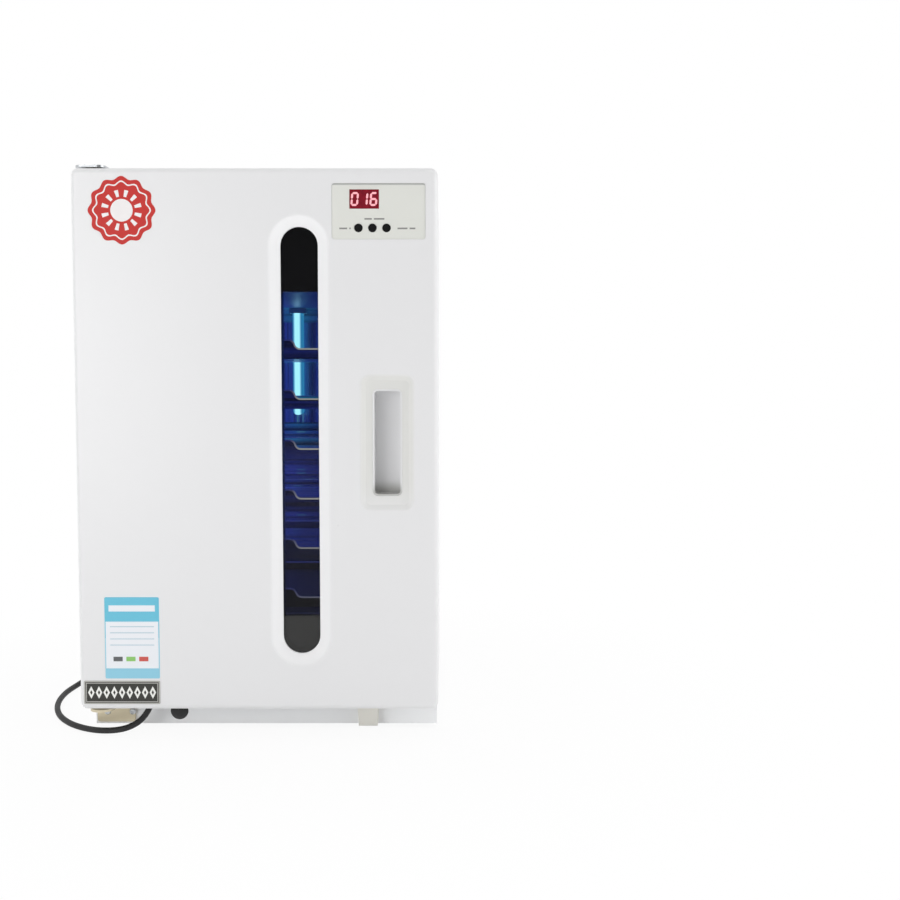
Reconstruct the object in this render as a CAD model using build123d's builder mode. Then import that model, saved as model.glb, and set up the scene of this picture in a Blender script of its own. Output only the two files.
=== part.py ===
"""Countertop ultraviolet cabinet: a sheet-steel body with a lit tray chamber behind a
moulded door on pin hinges. Millimetres, +Z up, the door faces -Y, the floor is Z = 0."""

import os
from math import hypot, pi, radians, tan

from build123d import *

# Door moulding
DOOR_W = 350.0
DOOR_H = 523.0
DOOR_T = 38.0
DOOR_WALL = 2.5
DOOR_CORNER_R = 7.0
DOOR_EDGE_R = 5.0
INNER_PANEL_T = 3.0
PANEL_CLEARANCE = 0.2

# Control panel in the door's upper corner
CONTROL_W = 89.0
CONTROL_H = 52.6
CONTROL_T = 1.2
CONTROL_SUNK = 0.6
CONTROL_CORNER_R = 2.5
CONTROL_CLEARANCE = 0.15
CONTROL_FROM_RIGHT = 12.0
CONTROL_FROM_TOP = 14.9
DISPLAY_W = 28.0
DISPLAY_H = 18.0
DISPLAY_FROM_LEFT = 16.8
DISPLAY_FROM_TOP = 5.7
DISPLAY_CLEARANCE = 0.15

# Push buttons and the board behind them
BUTTON_D = 8.0
BUTTON_COUNT = 3
BUTTON_PITCH = 13.4
BUTTON_FIRST = 25.2
BUTTON_FROM_TOP = 41.9
BUTTON_PROUD = 0.6
BUTTON_EDGE = 0.5
BUTTON_TRAVEL = 0.8
BUTTON_CLEARANCE = 0.15
BUTTON_FLANGE_D = 10.6
BUTTON_FLANGE_T = 1.2
BUTTON_FLANGE_GAP = 0.3
BUTTON_STEM_D = 3.5
BUTTON_STEM_L = 2.4
SWITCH_W = 6.0
SWITCH_H = 1.9
SWITCH_GAP = 0.1
BOARD_T = 1.6
BOARD_INSET = 3.0
BOARD_POST_D = 5.0
BOARD_POST_INSET = 4.0
BOARD_SCREW_D = 2.2
BOARD_SCREW_L = 5.0

# Window, an upright slot with a bevelled surround
WINDOW_W = 36.0
WINDOW_FROM_TOP = 55.1
WINDOW_FROM_BOTTOM = 54.6
WINDOW_TO_CONTROL = 3.7
WINDOW_BEVEL = 10.5
WINDOW_BEVEL_DEPTH = 5.5
WINDOW_LAND = 2.0
PANE_T = 3.0
PANE_LAP = 6.0
COLLAR_SET_OUT = 2.0
COLLAR_T = 2.0

# Pull: a shallow dish with a finger slot in it
DISH_W = 51.0
DISH_H = 130.0
DISH_R = 9.0
DISH_SLOPE = 5.0
DISH_DEPTH = 2.5
DISH_FROM_RIGHT = 23.5
DISH_FROM_TOP = 197.0
SLOT_W = 25.2
SLOT_H = 100.0
SLOT_R = 3.5
SLOT_DEPTH = 22.0
CUP_WALL = 1.6
CUP_CLEARANCE = 0.15
CUP_FLANGE = 6.0
CUP_FLANGE_T = 2.0

# Pin hinges
HINGE_INSET = 17.0
HINGE_DEPTH = 19.0
HINGE_PIN_D = 5.0
HINGE_PIN_REACH = 12.0
HINGE_PIN_HEAD_D = 8.0
HINGE_PIN_HEAD_T = 1.2
HINGE_RUNNING_CLEARANCE = 0.05
HINGE_HOLE_CLEARANCE = 0.05
HINGE_END_GAP = 0.3
HINGE_TOP_GAP = 2.0
HINGE_BOTTOM_GAP = 2.5
BUSH_D = 9.0
BUSH_FLANGE_D = 12.0
BUSH_FLOOR = 2.0
BUSH_SEAT_CLEARANCE = 0.05
BUSH_BOSS_WALL = 3.5
SWING_CLEARANCE = 0.5
TOP_PLATE_T = 2.0
TOP_PLATE_W = 29.0
TOP_PLATE_LEFT = 15.5
TOP_PLATE_NOSE = 11.0
TOP_PLATE_ON_BODY = 34.0
TOP_PLATE_R = 7.0
BRACKET_T = 2.5
BRACKET_W = 38.0
BRACKET_LEFT = 13.0
BRACKET_DROP = 22.0
BRACKET_NOSE = 9.0
BRACKET_ARM_W = 24.0
BRACKET_SCREW_LEFT = 10.2
BRACKET_SCREW_PITCH = 25.5
BRACKET_SCREW_UP = 10.5

# Cabinet body
FOOT_H = 4.0
FOOT_D = 24.0
FOOT_TAPER = 3.0
FOOT_INSET = 32.0
PLINTH_SHOW = 27.0
PLINTH_H = 41.0
BODY_INSET = 2.0
BODY_D = 300.0
SHEET = 1.2
BODY_CORNER_R = 5.0
REAR_LIP = 12.0
FRAME_T = 8.0
FRAME_WALL = 3.0
FRAME_MOUTH_R = 4.0
PAN_FLANGE = 12.0
VENT_L = 34.0
VENT_W = 3.0
VENT_PITCH = 9.0
VENT_ROWS = 7
VENT_COLUMN_PITCH = 120.0
VENT_FROM_TOP = 58.0

# Tray chamber
SIDE_SPACE = 25.0
HEADER_H = 116.0
BASE_H = 112.0
REAR_SPACE = 13.6
LINER_T = 1.2
LINER_FLANGE = 9.0
RACK_T = 1.2
RACK_END = 1.0
RACK_SET_BACK = 4.0
RACK_STOP = 6.0
LEDGE_W = 10.0
LEDGE_T = 1.2

# Trays
TRAY_COUNT = 6
TRAY_LOWEST = 3.0
TRAY_HEADROOM = 66.0
TRAY_H = 10.0
TRAY_T = 1.0
TRAY_R = 5.0
TRAY_SIDE_CLEARANCE = 0.8
TRAY_SET_BACK = 22.0
TRAY_LIP = 9.0
TRAY_LIP_W = 44.0
TRAY_LIP_FOOT_W = 68.0
LAMP_BAY = 32.0

# Twin-tube lamp, one tube behind the other
LAMP_L = 124.0
LAMP_TUBE_D = 12.0
LAMP_TUBE_PITCH = 14.0
LAMP_END_R = 5.0
LAMP_BRIDGE_D = 8.0
LAMP_BRIDGE_UP = 12.0
LAMP_FROM_BACK = 16.0
LAMP_BASE_W = 20.0
LAMP_BASE_D = 27.0
LAMP_BASE_R = 4.0
LAMP_BASE_BELOW = 6.0
LAMP_BASE_ABOVE = 18.0
LAMP_HOLE_CLEARANCE = 1.0
HOLDER_WALL = 3.5
HOLDER_ROOF = 8.0
HOLDER_CLEARANCE = 0.3
REFLECTOR_T = 0.8
REFLECTOR_W = 44.0
REFLECTOR_WING = 8.0
REFLECTOR_SPARE = 10.0
BALLAST_L = 110.0
BALLAST_W = 42.0
BALLAST_H = 28.0
BALLAST_EAR = 12.0
BALLAST_EAR_T = 2.0
BALLAST_HOLE_D = 4.2
BALLAST_FROM_LEFT = 24.0
BALLAST_SET_BACK = 90.0

# Appliance inlet at the rear
INLET_W = 27.0
INLET_H = 20.0
INLET_DEPTH = 24.0
INLET_FLANGE_W = 34.0
INLET_FLANGE_H = 27.0
INLET_FLANGE_T = 2.0
INLET_WALL = 1.6
INLET_R = 3.0
INLET_CHAMFER = 4.0
INLET_CAVITY = 16.0
INLET_CLEARANCE = 0.3
INLET_FROM_RIGHT = 78.0
INLET_FROM_BASE = 52.0
BLADE_W = 4.0
BLADE_T = 2.0
BLADE_L = 10.5
BLADE_PITCH = 14.0
BLADE_RISE = 4.0

# Seal and door sensor
GASKET_W = 8.0
GASKET_R = 6.0
GASKET_FROM_HINGE = 1.0
GASKET_GAP = 0.2
MAGNET_W = 20.0
MAGNET_H = 8.0
MAGNET_T = 4.0
SENSOR_W = 24.0
SENSOR_H = 10.0
SENSOR_T = 5.0
SENSOR_FROM_RIGHT = 70.0
SENSOR_FROM_TOP = 44.0

# Small pieces at the plinth
REST_W = 22.0
REST_TAPER = 1.5
REST_T = 12.0
REST_GAP = 0.4
REST_LIFT = 0.5
REST_R = 2.0
REST_FROM_RIGHT = 71.0
BUMPER_D = 18.0
BUMPER_PROUD = 5.0
BUMPER_FROM_LEFT = 86.5
BUMPER_UP = 13.0
PEG_D = 6.0
PEG_L = 7.0
PEG_CLEARANCE = 0.1

# Screws
SCREW_D = 3.2
SCREW_HEAD_D = 7.0
SCREW_HEAD_T = 1.8
SCREW_L = 8.0
SCREW_CLEARANCE = 0.1
BACK_SCREW_ROWS = 4
BACK_SCREW_INSET = 7.0
BACK_SCREW_END = 40.0
DOOR_POST_D = 7.0
DOOR_POST_INSET = 9.0
DOOR_POST_ROWS = 4
DOOR_POST_END = 62.0
DOOR_SCREW_HEAD_D = 5.8
DOOR_SCREW_HEAD_T = 1.6
DOOR_SCREW_L = 12.0

# Cable between the cabinet and the door
CABLE_D = 6.0
GROMMET_D = 16.0
GROMMET_NECK_D = 11.0
GROMMET_T = 1.8
GROMMET_INNER_T = 1.5
GROMMET_CLEARANCE = 0.1
GROMMET_DEPTH = 240.0
GROMMET_Z = 27.0
GLAND_D = 14.0
GLAND_TIP_D = 9.0
GLAND_DROP = 5.0
GLAND_NECK_D = 10.0
GLAND_NECK_L = 6.0
GLAND_CLEARANCE = 0.1
GLAND_FROM_LEFT = 61.0
GLAND_DEPTH = 26.0
CABLE_END_GAP = 0.3

# The gap behind the door lets its hinge-side corner swing past the body
DOOR_GAP = hypot(HINGE_INSET, DOOR_T - HINGE_DEPTH) - (DOOR_T - HINGE_DEPTH) + SWING_CLEARANCE
BODY_DEPTH = DOOR_T + DOOR_GAP
SHELL_DEPTH = BODY_DEPTH + FRAME_T
BACK_DEPTH = BODY_DEPTH + BODY_D
FRONT_Y = -(BACK_DEPTH + INLET_FLANGE_T) / 2

# Heights
DOOR_BOTTOM_Z = FOOT_H + PLINTH_SHOW
DOOR_TOP_Z = DOOR_BOTTOM_Z + DOOR_H
DOOR_MID_Z = (DOOR_BOTTOM_Z + DOOR_TOP_Z) / 2
BODY_TOP_Z = DOOR_TOP_Z + HINGE_TOP_GAP
BODY_H = BODY_TOP_Z - FOOT_H
BODY_MID_Z = FOOT_H + BODY_H / 2
PLINTH_TOP_Z = FOOT_H + PLINTH_H
BODY_W = DOOR_W - 2 * BODY_INSET

# Chamber
CHAMBER_W = BODY_W - 2 * SIDE_SPACE
CHAMBER_TOP_Z = BODY_TOP_Z - HEADER_H
CHAMBER_BOTTOM_Z = FOOT_H + BASE_H
CHAMBER_H = CHAMBER_TOP_Z - CHAMBER_BOTTOM_Z
CHAMBER_MID_Z = CHAMBER_BOTTOM_Z + CHAMBER_H / 2
CHAMBER_D = BODY_D - FRAME_T - LINER_T - REAR_SPACE - SHEET
CHAMBER_BACK_DEPTH = SHELL_DEPTH + CHAMBER_D
LINER_TOP_Z = CHAMBER_TOP_Z + LINER_T

# Trays
TRAY_FRONT_DEPTH = BODY_DEPTH + TRAY_SET_BACK
TRAY_D = CHAMBER_BACK_DEPTH - LAMP_BAY - TRAY_FRONT_DEPTH
TRAY_BACK_DEPTH = TRAY_FRONT_DEPTH + TRAY_D
TRAY_W = CHAMBER_W - 2 * RACK_T - 2 * TRAY_SIDE_CLEARANCE
TRAY_PITCH = (CHAMBER_H - TRAY_LOWEST - TRAY_HEADROOM) / (TRAY_COUNT - 1)
TRAY_Z = [CHAMBER_BOTTOM_Z + TRAY_LOWEST + row * TRAY_PITCH for row in range(TRAY_COUNT)]

# Places on the door, as X and Z in the front view
CONTROL_X = DOOR_W / 2 - CONTROL_FROM_RIGHT - CONTROL_W / 2
CONTROL_Z = DOOR_TOP_Z - CONTROL_FROM_TOP - CONTROL_H / 2
CONTROL_LEFT = CONTROL_X - CONTROL_W / 2
CONTROL_TOP_Z = CONTROL_Z + CONTROL_H / 2
CONTROL_FLOOR = CONTROL_SUNK + CONTROL_T
CONTROL_BACK = CONTROL_FLOOR + DOOR_WALL
DISPLAY_X = CONTROL_LEFT + DISPLAY_FROM_LEFT + DISPLAY_W / 2
DISPLAY_Z = CONTROL_TOP_Z - DISPLAY_FROM_TOP - DISPLAY_H / 2
BUTTON_Z = CONTROL_TOP_Z - BUTTON_FROM_TOP
BUTTON_X = [CONTROL_LEFT + BUTTON_FIRST + i * BUTTON_PITCH for i in range(BUTTON_COUNT)]
BUTTON_FACE = CONTROL_SUNK - BUTTON_PROUD
BUTTON_FLANGE_DEPTH = CONTROL_BACK + BUTTON_FLANGE_GAP
BUTTON_STEM_DEPTH = BUTTON_FLANGE_DEPTH + BUTTON_FLANGE_T
BUTTON_END_DEPTH = BUTTON_STEM_DEPTH + BUTTON_STEM_L
SWITCH_DEPTH = BUTTON_END_DEPTH + BUTTON_TRAVEL + SWITCH_GAP
BOARD_DEPTH = SWITCH_DEPTH + SWITCH_H
BOARD_W = CONTROL_W - 2 * BOARD_INSET
BOARD_H = CONTROL_H - 2 * BOARD_INSET
BOARD_POST_SPAN_X = BOARD_W - 2 * BOARD_POST_INSET
BOARD_POST_SPAN_Z = BOARD_H - 2 * BOARD_POST_INSET
WINDOW_H = DOOR_H - WINDOW_FROM_TOP - WINDOW_FROM_BOTTOM
WINDOW_X = CONTROL_LEFT - WINDOW_TO_CONTROL - WINDOW_BEVEL - WINDOW_W / 2
WINDOW_Z = DOOR_TOP_Z - WINDOW_FROM_TOP - WINDOW_H / 2
PANE_DEPTH = WINDOW_BEVEL_DEPTH + WINDOW_LAND
DISH_X = DOOR_W / 2 - DISH_FROM_RIGHT - DISH_W / 2
DISH_Z = DOOR_TOP_Z - DISH_FROM_TOP - DISH_H / 2
DISH_BACK = DISH_DEPTH + DOOR_WALL
CUP_W = SLOT_W + 2 * CUP_WALL
CUP_H = SLOT_H + 2 * CUP_WALL
CUP_R = SLOT_R + CUP_WALL
INNER_PANEL_DEPTH = DOOR_T - INNER_PANEL_T
INNER_PANEL_W = DOOR_W - 2 * DOOR_WALL - 2 * PANEL_CLEARANCE
INNER_PANEL_H = DOOR_H - 2 * DOOR_WALL - 2 * PANEL_CLEARANCE
DOOR_POST_SPAN = DOOR_W - 2 * DOOR_POST_INSET
DOOR_POST_PITCH = (DOOR_H - 2 * DOOR_POST_END) / (DOOR_POST_ROWS - 1)
SENSOR_X = DOOR_W / 2 - SENSOR_FROM_RIGHT
SENSOR_Z = DOOR_TOP_Z - SENSOR_FROM_TOP

# Hinge line and lower fittings
HINGE_X = -DOOR_W / 2 + HINGE_INSET
HINGE_Y = FRONT_Y + HINGE_DEPTH
BRACKET_TOP_Z = DOOR_BOTTOM_Z - HINGE_BOTTOM_GAP
BRACKET_BOTTOM_Z = BRACKET_TOP_Z - BRACKET_DROP
BRACKET_X = HINGE_X - BRACKET_LEFT + BRACKET_W / 2
BRACKET_SCREW_X = [HINGE_X - BRACKET_LEFT + BRACKET_SCREW_LEFT + i * BRACKET_SCREW_PITCH for i in (0, 1)]
BRACKET_SCREW_Z = BRACKET_BOTTOM_Z + BRACKET_SCREW_UP
TOP_PLATE_X = HINGE_X - TOP_PLATE_LEFT + TOP_PLATE_W / 2
TOP_PLATE_FRONT = HINGE_DEPTH - TOP_PLATE_NOSE
TOP_PLATE_BACK = BODY_DEPTH + TOP_PLATE_ON_BODY
TOP_SCREW_DEPTHS = [SHELL_DEPTH + SCREW_HEAD_D, TOP_PLATE_BACK - SCREW_HEAD_D]
BUMPER_X = -DOOR_W / 2 + BUMPER_FROM_LEFT
BUMPER_Z = FOOT_H + BUMPER_UP
REST_X = DOOR_W / 2 - REST_FROM_RIGHT
REST_BOTTOM_Z = FOOT_H + REST_LIFT
REST_TOP_Z = DOOR_BOTTOM_Z - REST_GAP
GLAND_X = -DOOR_W / 2 + GLAND_FROM_LEFT
LAMP_DEPTH = CHAMBER_BACK_DEPTH - LAMP_FROM_BACK
LAMP_TOP_Z = CHAMBER_TOP_Z - LAMP_BASE_BELOW
LAMP_BOTTOM_Z = LAMP_TOP_Z - LAMP_L
INLET_X = BODY_W / 2 - INLET_FROM_RIGHT
INLET_Z = FOOT_H + INLET_FROM_BASE
BACK_SCREW_PITCH = (BODY_H - 2 * BACK_SCREW_END) / (BACK_SCREW_ROWS - 1)
SCREW_HOLE_D = SCREW_D + 2 * SCREW_CLEARANCE

CENTRED_DOWN = (Align.CENTER, Align.CENTER, Align.MAX)
CENTRED_UP = (Align.CENTER, Align.CENTER, Align.MIN)


def at_depth(depth):
    """Front-view plane, X right and Z up, at a depth behind the door's face."""
    return Plane.XZ.offset(-(FRONT_Y + depth))


def y_of(depth):
    """Y of a depth behind the door's face."""
    return FRONT_Y + depth


def upright_slot(width, height):
    """Upright slot with round ends, in the current sketch."""
    SlotOverall(height, width, rotation=90)


def door_posts():
    """Screw posts down both sides of the door, in the current plane."""
    return GridLocations(DOOR_POST_SPAN, DOOR_POST_PITCH, 2, DOOR_POST_ROWS)


def board_posts():
    """Screw posts at the board's corners, in the current plane."""
    return GridLocations(BOARD_POST_SPAN_X, BOARD_POST_SPAN_Z, 2, 2)


def save(part, name):
    """Label a finished piece and write it."""
    part.label = name
    export_step(part, f"parts/{name}.step")


os.makedirs("parts", exist_ok=True)

# Cabinet: sheet-steel wrap over the top and sides, with lips turned in at the rear
SHELL_BACK_DEPTH = BACK_DEPTH - SHEET
with BuildPart() as cabinet_shell:
    with BuildSketch(at_depth(SHELL_DEPTH)) as wrap:
        with Locations((0, BODY_MID_Z)):
            Rectangle(BODY_W, BODY_H)
        fillet(wrap.vertices().group_by(Axis.Y)[-1], BODY_CORNER_R)
        with BuildSketch(mode=Mode.SUBTRACT) as hollow:
            with Locations((0, BODY_MID_Z - SHEET / 2)):
                Rectangle(BODY_W - 2 * SHEET, BODY_H - SHEET)
            fillet(hollow.vertices().group_by(Axis.Y)[-1], BODY_CORNER_R - SHEET)
    extrude(amount=-(SHELL_BACK_DEPTH - SHELL_DEPTH))
    with BuildSketch(at_depth(SHELL_BACK_DEPTH - SHEET)) as lips:
        with Locations((0, BODY_MID_Z)):
            Rectangle(BODY_W - SHEET, BODY_H)
        fillet(lips.vertices().group_by(Axis.Y)[-1], BODY_CORNER_R)
        with Locations((0, BODY_MID_Z - REAR_LIP / 2)):
            Rectangle(BODY_W - 2 * REAR_LIP, BODY_H - REAR_LIP, mode=Mode.SUBTRACT)
        with Locations((0, FOOT_H + PAN_FLANGE / 2)):
            Rectangle(BODY_W, PAN_FLANGE + SHEET, mode=Mode.SUBTRACT)
    extrude(amount=-SHEET)
    with BuildSketch(at_depth(SHELL_BACK_DEPTH - SHEET)):
        with Locations((0, BODY_MID_Z)):
            with GridLocations(BODY_W - 2 * BACK_SCREW_INSET, BACK_SCREW_PITCH, 2, BACK_SCREW_ROWS):
                Circle(SCREW_HOLE_D / 2)
    extrude(amount=-SHEET, mode=Mode.SUBTRACT)
    with BuildSketch(Plane.XY.offset(BODY_TOP_Z)):
        with Locations(*[(HINGE_X, y_of(depth)) for depth in TOP_SCREW_DEPTHS]):
            Circle(SCREW_HOLE_D / 2)
    extrude(amount=-SHEET, mode=Mode.SUBTRACT)
    with BuildSketch(Plane.YZ.offset(-BODY_W / 2)):
        with Locations((y_of(GROMMET_DEPTH), GROMMET_Z)):
            Circle(GROMMET_NECK_D / 2 + GROMMET_CLEARANCE)
    extrude(amount=SHEET, mode=Mode.SUBTRACT)
save(cabinet_shell.part, "cabinet_shell")

# Rear panel with vent slots and the inlet's cut-out
with BuildPart() as back_panel:
    with BuildSketch(at_depth(SHELL_BACK_DEPTH)) as rear:
        with Locations((0, BODY_MID_Z)):
            Rectangle(BODY_W, BODY_H)
        fillet(rear.vertices().group_by(Axis.Y)[-1], BODY_CORNER_R)
        with Locations((0, BODY_TOP_Z - VENT_FROM_TOP)):
            with GridLocations(VENT_COLUMN_PITCH, VENT_PITCH, 2, VENT_ROWS):
                SlotOverall(VENT_L, VENT_W, mode=Mode.SUBTRACT)
        with Locations((0, BODY_MID_Z)):
            with GridLocations(BODY_W - 2 * BACK_SCREW_INSET, BACK_SCREW_PITCH, 2, BACK_SCREW_ROWS):
                Circle(SCREW_HOLE_D / 2, mode=Mode.SUBTRACT)
        with Locations((INLET_X, INLET_Z)):
            RectangleRounded(
                INLET_W + 2 * INLET_CLEARANCE,
                INLET_H + 2 * INLET_CLEARANCE,
                INLET_R,
                mode=Mode.SUBTRACT,
            )
    extrude(amount=-SHEET)
save(back_panel.part, "back_panel")

# Floor pan with upturned side flanges
PAN_W = BODY_W - 2 * SHEET
with BuildPart() as base_pan:
    with BuildSketch(at_depth(SHELL_DEPTH)):
        with Locations((0, FOOT_H)):
            Rectangle(PAN_W, PAN_FLANGE, align=(Align.CENTER, Align.MIN))
        with Locations((0, FOOT_H + SHEET)):
            Rectangle(PAN_W - 2 * SHEET, PAN_FLANGE, align=(Align.CENTER, Align.MIN), mode=Mode.SUBTRACT)
    extrude(amount=-(SHELL_BACK_DEPTH - SHELL_DEPTH))
save(base_pan.part, "base_pan")

# Folded kick plate below the door
with BuildPart() as plinth:
    with BuildSketch(Plane.XY.offset(FOOT_H)):
        with Locations((0, y_of(BODY_DEPTH))):
            Rectangle(BODY_W, FRAME_T, align=(Align.CENTER, Align.MIN))
        with Locations((0, y_of(BODY_DEPTH + SHEET))):
            Rectangle(BODY_W - 2 * SHEET, FRAME_T, align=(Align.CENTER, Align.MIN), mode=Mode.SUBTRACT)
    extrude(amount=PLINTH_H)
    with BuildSketch(at_depth(BODY_DEPTH)):
        with Locations(*[(x, BRACKET_SCREW_Z) for x in BRACKET_SCREW_X]):
            Circle(SCREW_HOLE_D / 2)
        with Locations((BUMPER_X, BUMPER_Z), (REST_X, BUMPER_Z)):
            Circle(PEG_D / 2 + PEG_CLEARANCE)
    extrude(amount=-SHEET, mode=Mode.SUBTRACT)
save(plinth.part, "plinth")

# Moulded face round the chamber's mouth, hollow behind
FRAME_H = BODY_TOP_Z - PLINTH_TOP_Z
FRAME_MID_Z = PLINTH_TOP_Z + FRAME_H / 2
with BuildPart() as front_frame:
    with BuildSketch(at_depth(BODY_DEPTH)) as face:
        with Locations((0, FRAME_MID_Z)):
            Rectangle(BODY_W, FRAME_H)
        fillet(face.vertices().group_by(Axis.Y)[-1], BODY_CORNER_R)
        with Locations((0, CHAMBER_MID_Z)):
            RectangleRounded(CHAMBER_W, CHAMBER_H, FRAME_MOUTH_R, mode=Mode.SUBTRACT)
    extrude(amount=-FRAME_T)
    with BuildSketch(at_depth(BODY_DEPTH + FRAME_WALL)):
        with Locations((0, FRAME_MID_Z)):
            Rectangle(BODY_W - 2 * FRAME_WALL, FRAME_H - 2 * FRAME_WALL)
        with Locations((0, CHAMBER_MID_Z)):
            RectangleRounded(
                CHAMBER_W + 2 * FRAME_WALL,
                CHAMBER_H + 2 * FRAME_WALL,
                FRAME_MOUTH_R + FRAME_WALL,
                mode=Mode.SUBTRACT,
            )
    extrude(amount=-(FRAME_T - FRAME_WALL), mode=Mode.SUBTRACT)
save(front_frame.part, "front_frame")

# Bright chamber box, open to the front, with a flange behind the face frame
with BuildPart() as inner_liner:
    with BuildSketch(at_depth(SHELL_DEPTH)):
        with Locations((0, CHAMBER_MID_Z)):
            Rectangle(CHAMBER_W + 2 * LINER_T, CHAMBER_H + 2 * LINER_T)
    extrude(amount=-(CHAMBER_D + LINER_T))
    with BuildSketch(at_depth(SHELL_DEPTH)):
        with Locations((0, CHAMBER_MID_Z)):
            Rectangle(CHAMBER_W + 2 * LINER_FLANGE, CHAMBER_H + 2 * LINER_FLANGE)
    extrude(amount=-LINER_T)
    with BuildSketch(at_depth(SHELL_DEPTH)):
        with Locations((0, CHAMBER_MID_Z)):
            Rectangle(CHAMBER_W, CHAMBER_H)
    extrude(amount=-CHAMBER_D, mode=Mode.SUBTRACT)
    with BuildSketch(Plane.XY.offset(LINER_TOP_Z)):
        with Locations((0, y_of(LAMP_DEPTH))):
            RectangleRounded(
                LAMP_BASE_W + 2 * LAMP_HOLE_CLEARANCE,
                LAMP_BASE_D + 2 * LAMP_HOLE_CLEARANCE,
                LAMP_BASE_R,
            )
    extrude(amount=-LINER_T, mode=Mode.SUBTRACT)
save(inner_liner.part, "inner_liner")

# Rack plates on the chamber's side walls
RACK_FRONT_DEPTH = SHELL_DEPTH + RACK_SET_BACK
RACK_BACK_DEPTH = TRAY_BACK_DEPTH + RACK_STOP
RACK_H = CHAMBER_H - 2 * RACK_END
for side, inward in (("left", 1), ("right", -1)):
    near = Align.MIN if inward > 0 else Align.MAX
    with BuildPart() as tray_rack:
        with BuildSketch(at_depth(RACK_FRONT_DEPTH)):
            with Locations((-inward * CHAMBER_W / 2, CHAMBER_MID_Z)):
                Rectangle(RACK_T, RACK_H, align=(near, Align.CENTER))
        extrude(amount=-(RACK_BACK_DEPTH - RACK_FRONT_DEPTH))
    save(tray_rack.part, f"tray_rack_{side}")

# Ledges welded to the plates, a pair for each tray
LEDGE_X = CHAMBER_W / 2 - RACK_T - LEDGE_W / 2
with BuildPart() as tray_ledges:
    with BuildSketch(at_depth(RACK_FRONT_DEPTH)):
        with Locations(*[(x, z) for z in TRAY_Z for x in (-LEDGE_X, LEDGE_X)]):
            Rectangle(LEDGE_W, LEDGE_T, align=(Align.CENTER, Align.MAX))
    extrude(amount=-(TRAY_BACK_DEPTH - RACK_FRONT_DEPTH))
save(tray_ledges.part, "tray_ledges")

# Upright strips that stop the trays short of the lamp
with BuildPart() as tray_stops:
    with BuildSketch(at_depth(TRAY_BACK_DEPTH)):
        with Locations((-LEDGE_X, CHAMBER_MID_Z), (LEDGE_X, CHAMBER_MID_Z)):
            Rectangle(LEDGE_W, RACK_H)
    extrude(amount=-RACK_STOP)
save(tray_stops.part, "tray_stops")

# Lamp: twin tubes joined by a bridge near their lower ends
with BuildPart() as lamp_tubes:
    tube_depths = (LAMP_DEPTH - LAMP_TUBE_PITCH / 2, LAMP_DEPTH + LAMP_TUBE_PITCH / 2)
    with Locations(*[(0, y_of(depth), LAMP_TOP_Z) for depth in tube_depths]):
        Cylinder(LAMP_TUBE_D / 2, LAMP_L, align=CENTRED_DOWN)
    fillet(lamp_tubes.faces().filter_by(Axis.Z).group_by(Axis.Z)[0].edges(), LAMP_END_R)
    with Locations((0, y_of(LAMP_DEPTH), LAMP_BOTTOM_Z + LAMP_BRIDGE_UP)):
        Cylinder(LAMP_BRIDGE_D / 2, LAMP_TUBE_PITCH, rotation=(90, 0, 0))
save(lamp_tubes.part, "lamp_tubes")

# Lamp base, through the chamber's ceiling
LAMP_BASE_H = LAMP_BASE_BELOW + LINER_T + LAMP_BASE_ABOVE
with BuildPart() as lamp_base:
    with BuildSketch(Plane.XY.offset(LAMP_TOP_Z)):
        with Locations((0, y_of(LAMP_DEPTH))):
            RectangleRounded(LAMP_BASE_W, LAMP_BASE_D, LAMP_BASE_R)
    extrude(amount=LAMP_BASE_H)
save(lamp_base.part, "lamp_base")

# Holder over the base, standing on the chamber's roof
with BuildPart() as lamp_holder:
    with BuildSketch(Plane.XY.offset(LINER_TOP_Z)):
        with Locations((0, y_of(LAMP_DEPTH))):
            RectangleRounded(
                LAMP_BASE_W + 2 * HOLDER_WALL, LAMP_BASE_D + 2 * HOLDER_WALL, LAMP_BASE_R + HOLDER_WALL / 2
            )
    extrude(amount=LAMP_BASE_ABOVE + HOLDER_ROOF)
    with BuildSketch(Plane.XY.offset(LINER_TOP_Z)):
        with Locations((0, y_of(LAMP_DEPTH))):
            RectangleRounded(
                LAMP_BASE_W + 2 * HOLDER_CLEARANCE, LAMP_BASE_D + 2 * HOLDER_CLEARANCE, LAMP_BASE_R
            )
    extrude(amount=LAMP_BASE_ABOVE, mode=Mode.SUBTRACT)
save(lamp_holder.part, "lamp_holder")

# Folded reflector on the chamber's back wall
with BuildPart() as lamp_reflector:
    with BuildSketch(Plane.XY.offset(LAMP_BOTTOM_Z - REFLECTOR_SPARE)):
        with BuildLine():
            half = REFLECTOR_W / 2
            back_y = y_of(CHAMBER_BACK_DEPTH)
            tip_y = back_y - REFLECTOR_WING
            Polyline(
                (0, back_y),
                (half, back_y),
                (half + REFLECTOR_WING, tip_y),
                (half + REFLECTOR_WING - REFLECTOR_T, tip_y - REFLECTOR_T),
                (half - REFLECTOR_T / 2, back_y - REFLECTOR_T),
                (0, back_y - REFLECTOR_T),
            )
            mirror(about=Plane.YZ)
        make_face()
    extrude(amount=LAMP_L)
save(lamp_reflector.part, "lamp_reflector")

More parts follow.
